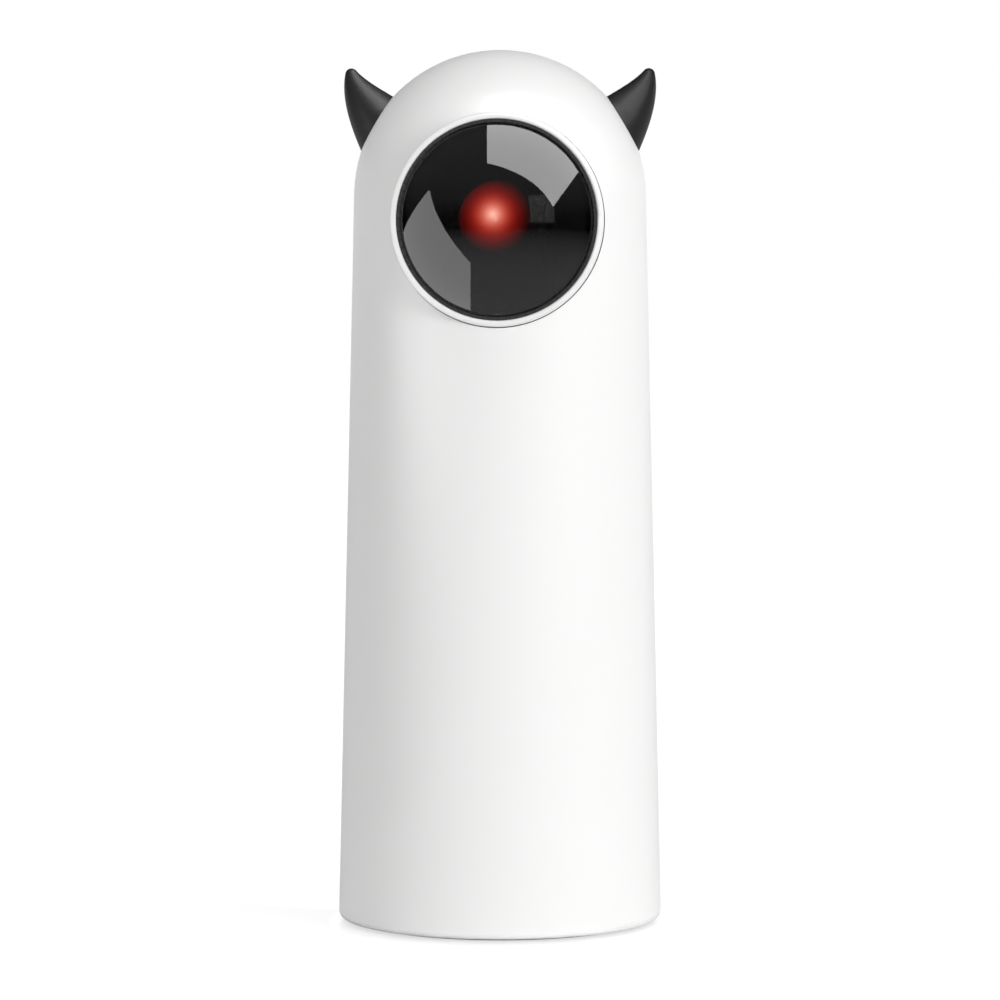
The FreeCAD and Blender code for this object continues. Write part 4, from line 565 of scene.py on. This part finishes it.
join(tree, underside.outputs["Backfacing"], from_below.inputs["Fac"])
join(tree, blend.outputs["Shader"], from_below.inputs[1])
join(tree, clear.outputs["BSDF"], from_below.inputs[2])
join(tree, from_below.outputs["Shader"], tree.nodes["Material Output"].inputs["Surface"])
floor.data.materials.append(sweep)

# %% [markdown]
# The room is white for the camera, for mirrors and for clear parts, and a soft grey light for
# everything else.

# %% Room light
ROOM_LIGHT = 0.745
world = bpy.data.worlds.new("room")
scene.world = world
world.use_nodes = True
tree = world.node_tree
background = tree.nodes["Background"]
background.inputs["Color"].default_value = colour(1, 1, 1)
seen = add_node(tree, "ShaderNodeLightPath")
mirrored = add_node(tree, "ShaderNodeMath", operation="MAXIMUM")
join(tree, seen.outputs["Is Glossy Ray"], mirrored.inputs[0])
join(tree, seen.outputs["Is Transmission Ray"], mirrored.inputs[1])
shown = add_node(tree, "ShaderNodeMath", operation="MAXIMUM")
join(tree, seen.outputs["Is Camera Ray"], shown.inputs[0])
join(tree, mirrored.outputs["Value"], shown.inputs[1])
strength = add_node(tree, "ShaderNodeMapRange")
strength.inputs["To Min"].default_value = ROOM_LIGHT
strength.inputs["To Max"].default_value = 1.0
join(tree, shown.outputs["Value"], strength.inputs["Value"])
join(tree, strength.outputs["Result"], background.inputs["Strength"])

# %% [markdown]
# One large lamp stands to the right of the camera and above it. It makes the right side of the
# tower bright, lets the left side fall to a light grey, and throws the soft shadow of the window
# ring to the left. Mirrors see the cards below in its place.

# %% Lamps
def soft_lamp(name, azimuth, elevation, distance, width, power):
    """A square lamp that looks at the middle of the toy; azimuth 0 is the front, 90 the right."""
    data = bpy.data.lights.new(name, "AREA")
    data.shape = "SQUARE"
    data.size = width
    data.energy = power
    lamp = bpy.data.objects.new(name, data)
    scene.collection.objects.link(lamp)
    turn, rise = math.radians(azimuth), math.radians(elevation)
    lamp.location = Vector((math.sin(turn) * math.cos(rise), -math.cos(turn) * math.cos(rise),
                            math.sin(rise))) * distance + Vector((0, 0, AIM_HEIGHT))
    aim = Vector((0, 0, AIM_HEIGHT)) - lamp.location
    lamp.rotation_mode = "QUATERNION"
    lamp.rotation_quaternion = aim.to_track_quat("-Z", "Y")
    return lamp


key_lamp = soft_lamp("key lamp", azimuth=40, elevation=12, distance=1.5, width=0.6, power=9.5)
key_lamp.visible_glossy = False

# %% [markdown]
# ## Reflections in the window
#
# The window is a convex mirror. Two pale shapes in it are the photographer's lamps, its lighter
# flat rim mirrors what hangs behind the camera, and its dark upper half is the unlit room. Sheets
# that only mirrors can see stand in for them. To find where a card's corner has to be, a ray goes
# from the camera through that corner's place in the photograph, meets the dome, and is mirrored
# there.

# %% Mirror rays
WINDOW_CURVE = 0.034

window_low, window_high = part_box("lens_cover")
window_middle = Vector(((window_low[0] + window_high[0]) / 2, window_low[1],
                        (window_low[2] + window_high[2]) / 2))
window_centre = window_middle + Vector((0, WINDOW_CURVE, 0))


def photo_ray(across, down):
    """The direction from the camera through a place in the photograph, in its pixels."""
    half = PHOTO_SIZE / 2
    ray = Vector(((across - half) / FOCAL_PIXELS, (half - down) / FOCAL_PIXELS, -1.0))
    return (camera.rotation_quaternion @ ray).normalized()


def mirror_place(across, down, reach):
    """The point that the window mirrors at a place in the photograph, at a given reach."""
    ray = photo_ray(across, down)
    offset = camera.location - window_centre
    along = ray.dot(offset)
    inside = along * along - offset.length_squared + WINDOW_CURVE ** 2
    hit = camera.location + ray * (-along - math.sqrt(max(inside, 0.0)))
    normal = (hit - window_centre).normalized()
    return hit + ray.reflect(normal) * reach


def curve_point(points, part):
    """A point on the smooth curve through three points."""
    first, middle, last = [Vector(point) for point in points]
    control = middle * 2 - (first + last) / 2
    return first * (1 - part) ** 2 + control * 2 * part * (1 - part) + last * part * part


def black_finish(name):
    """A finish that mirrors and scatters nothing, for sheets that only shine."""
    material, tree, shader, place = new_finish(name)
    shader.inputs["Base Color"].default_value = colour(0, 0, 0)
    shader.inputs["Specular IOR Level"].default_value = 0.0
    shader.inputs["Emission Color"].default_value = colour(1, 1, 1)
    shader.inputs["Emission Strength"].default_value = 1.0
    return material, tree, shader, place


def lamp_glow(name, strength, nearest=0.0):
    """A black sheet that shines, for rays that have come at least as far as nearest."""
    material, tree, shader, _ = black_finish(name)
    path = add_node(tree, "ShaderNodeLightPath")
    far_enough = add_node(tree, "ShaderNodeMath", operation="GREATER_THAN")
    far_enough.inputs[1].default_value = nearest
    level = add_node(tree, "ShaderNodeMath", operation="MULTIPLY")
    level.inputs[1].default_value = strength
    join(tree, path.outputs["Ray Length"], far_enough.inputs[0])
    join(tree, far_enough.outputs["Value"], level.inputs[0])
    join(tree, level.outputs["Value"], shader.inputs["Emission Strength"])
    return material


def sheet(name, rows, material):
    """A thin sheet through rows of points that only reflections see: no light and no shadow."""
    width = len(rows[0])
    corners = [point for row in rows for point in row]
    faces = [(start, start + 1, start + width + 1, start + width)
             for row in range(len(rows) - 1)
             for start in range(row * width, row * width + width - 1)]
    mesh = bpy.data.meshes.new(name)
    mesh.from_pydata(corners, [], faces)
    thing = bpy.data.objects.new(name, mesh)
    scene.collection.objects.link(thing)
    thing.data.materials.append(material)
    thing.visible_camera = False
    thing.visible_diffuse = False
    thing.visible_shadow = False
    thing.visible_transmission = False


def mirror_card(name, inner, outer, strength, reach, nearest, steps=24, lines=8):
    """A card between two curves of the photograph; nearest is a share of its reach."""
    rows = []
    for line in range(lines + 1):
        row = []
        for step in range(steps + 1):
            near = curve_point(inner, step / steps)
            far = curve_point(outer, step / steps)
            spot = near.lerp(far, line / lines)
            row.append(mirror_place(spot.x, spot.y, reach))
        rows.append(row)
    sheet(name, rows, lamp_glow(name, strength, reach * nearest))
    print(name, "hangs at", [round(value, 3) for value in rows[0][0]])


# %% [markdown]
# The right card is far away. The left one would be under the floor there, because the lower edge of
# the window looks straight down, so it stands close to the window. Both shine only for rays that
# come from as far as the window, so that the satin housing and the horns, which are nearer, mirror
# little of them.

# %% Lamp cards
RIGHT_CARD_INNER = ((487, 163), (528, 179.5), (553, 207))
RIGHT_CARD_OUTER = ((487, 118), (549, 132), (585, 163))
RIGHT_CARD_REACH = 1.3
RIGHT_CARD_STRENGTH = 7.8
RIGHT_CARD_NEAREST = 0.993
LEFT_CARD_INNER = ((430, 191), (443, 226), (470.5, 263))
LEFT_CARD_OUTER = ((429, 190), (403, 264), (470.5, 318))
LEFT_CARD_REACH = 0.14
LEFT_CARD_STRENGTH = 3.6
LEFT_CARD_NEAREST = 0.93
mirror_card("right lamp card", RIGHT_CARD_INNER, RIGHT_CARD_OUTER, RIGHT_CARD_STRENGTH,
            RIGHT_CARD_REACH, RIGHT_CARD_NEAREST)
mirror_card("left lamp card", LEFT_CARD_INNER, LEFT_CARD_OUTER, LEFT_CARD_STRENGTH, LEFT_CARD_REACH,
            LEFT_CARD_NEAREST)

# %% [markdown]
# The rim card hangs where the window's flat rim mirrors it, straight behind the camera.

# %% Rim card
RIM_CARD_RADIUS = 0.065
RIM_CARD_REACH = 1.3
RIM_CARD_STRENGTH = 1.15
DISC_CENTRE = 0.001

away = window_middle - camera.location
away.y = -away.y
rim_spot = window_middle + away.normalized() * RIM_CARD_REACH
rim_turns = [math.radians(angle) for angle in range(0, 361, 15)]
sheet("rim card", [[rim_spot + Vector((math.cos(turn), 0, math.sin(turn))) * radius
                    for turn in rim_turns] for radius in (DISC_CENTRE, RIM_CARD_RADIUS)],
      lamp_glow("rim card", RIM_CARD_STRENGTH))

# %% [markdown]
# The room is dark near the floor and grows dim grey towards its ceiling. Its wall stands all round,
# but behind the toy it starts above the strip of white sweep that the floor mirrors.

# %% Dim room
ROOM_RADIUS = 1.45
ROOM_HEIGHT = 2.4
SWEEP_HEIGHT = 0.42
ROOM_TONES = ((0.0, 0.01), (0.1, 0.02), (0.27, 0.17), (0.46, 0.24), (1.0, 0.27))
WALL_STEPS = 48
BACK_WALL = 100


def grey_ramp(tree, factor, stops):
    """Turns a factor of 0 to 1 into greys; a stop is (position, grey)."""
    ramp = add_node(tree, "ShaderNodeValToRGB")
    elements = ramp.color_ramp.elements
    for number, (position, grey) in enumerate(stops):
        element = elements[number] if number < 2 else elements.new(position)
        element.position = position
        element.color = colour(grey, grey, grey)
    join(tree, factor, ramp.inputs["Fac"])
    return ramp.outputs["Color"]


dim_room, tree, shader, place = black_finish("dim room")
parts = add_node(tree, "ShaderNodeSeparateXYZ")
share = add_node(tree, "ShaderNodeMath", operation="DIVIDE")
share.inputs[1].default_value = ROOM_HEIGHT
join(tree, place, parts.inputs["Vector"])
join(tree, parts.outputs["Z"], share.inputs[0])
join(tree, grey_ramp(tree, share.outputs["Value"], ROOM_TONES), shader.inputs["Emission Color"])


def room_wall(name, first, last, low, material):
    """A curved wall between two azimuths, from a height up to the ceiling."""
    turns = [math.radians(first + (last - first) * step / WALL_STEPS)
             for step in range(WALL_STEPS + 1)]
    sheet(name, [[Vector((math.sin(turn) * ROOM_RADIUS, -math.cos(turn) * ROOM_RADIUS, height))
                  for turn in turns] for height in (low, ROOM_HEIGHT)], material)


room_wall("room front wall", -BACK_WALL, BACK_WALL, 0.0, dim_room)
room_wall("room back wall", BACK_WALL, 360 - BACK_WALL, SWEEP_HEIGHT, lamp_glow("black wall", 0.0))
ceiling_turns = [math.radians(angle) for angle in range(0, 361, 10)]
sheet("room ceiling", [[Vector((math.cos(turn) * radius, math.sin(turn) * radius, ROOM_HEIGHT))
                        for turn in ceiling_turns] for radius in (DISC_CENTRE, ROOM_RADIUS)],
      dim_room)

# %% [markdown]
# The sweep is bright only near the toy. In mirrors it fades to the dark of the room, which makes
# the soft horizon in the window.

# %% Fading sweep
SWEEP_START = 0.045
SWEEP_TONES = ((0.0, 0.72), (0.1, 0.72), (0.22, 0.58), (0.34, 0.42), (0.6, 0.2), (1.0, 0.06))
SWEEP_LEVEL = 0.0005

fading, tree, shader, place = black_finish("fading sweep")
from_middle = add_node(tree, "ShaderNodeVectorMath", operation="LENGTH")
share = add_node(tree, "ShaderNodeMapRange")
share.inputs["From Min"].default_value = SWEEP_START
share.inputs["From Max"].default_value = ROOM_RADIUS
join(tree, place, from_middle.inputs[0])
join(tree, from_middle.outputs["Value"], share.inputs["Value"])
join(tree, grey_ramp(tree, share.outputs["Result"], SWEEP_TONES), shader.inputs["Emission Color"])
sweep_turns = [math.radians(angle) for angle in range(-110, 111, 10)]
sheet("fading sweep", [[Vector((math.sin(turn) * radius, -math.cos(turn) * radius, SWEEP_LEVEL))
                        for turn in sweep_turns] for radius in (SWEEP_START, ROOM_RADIUS)], fading)
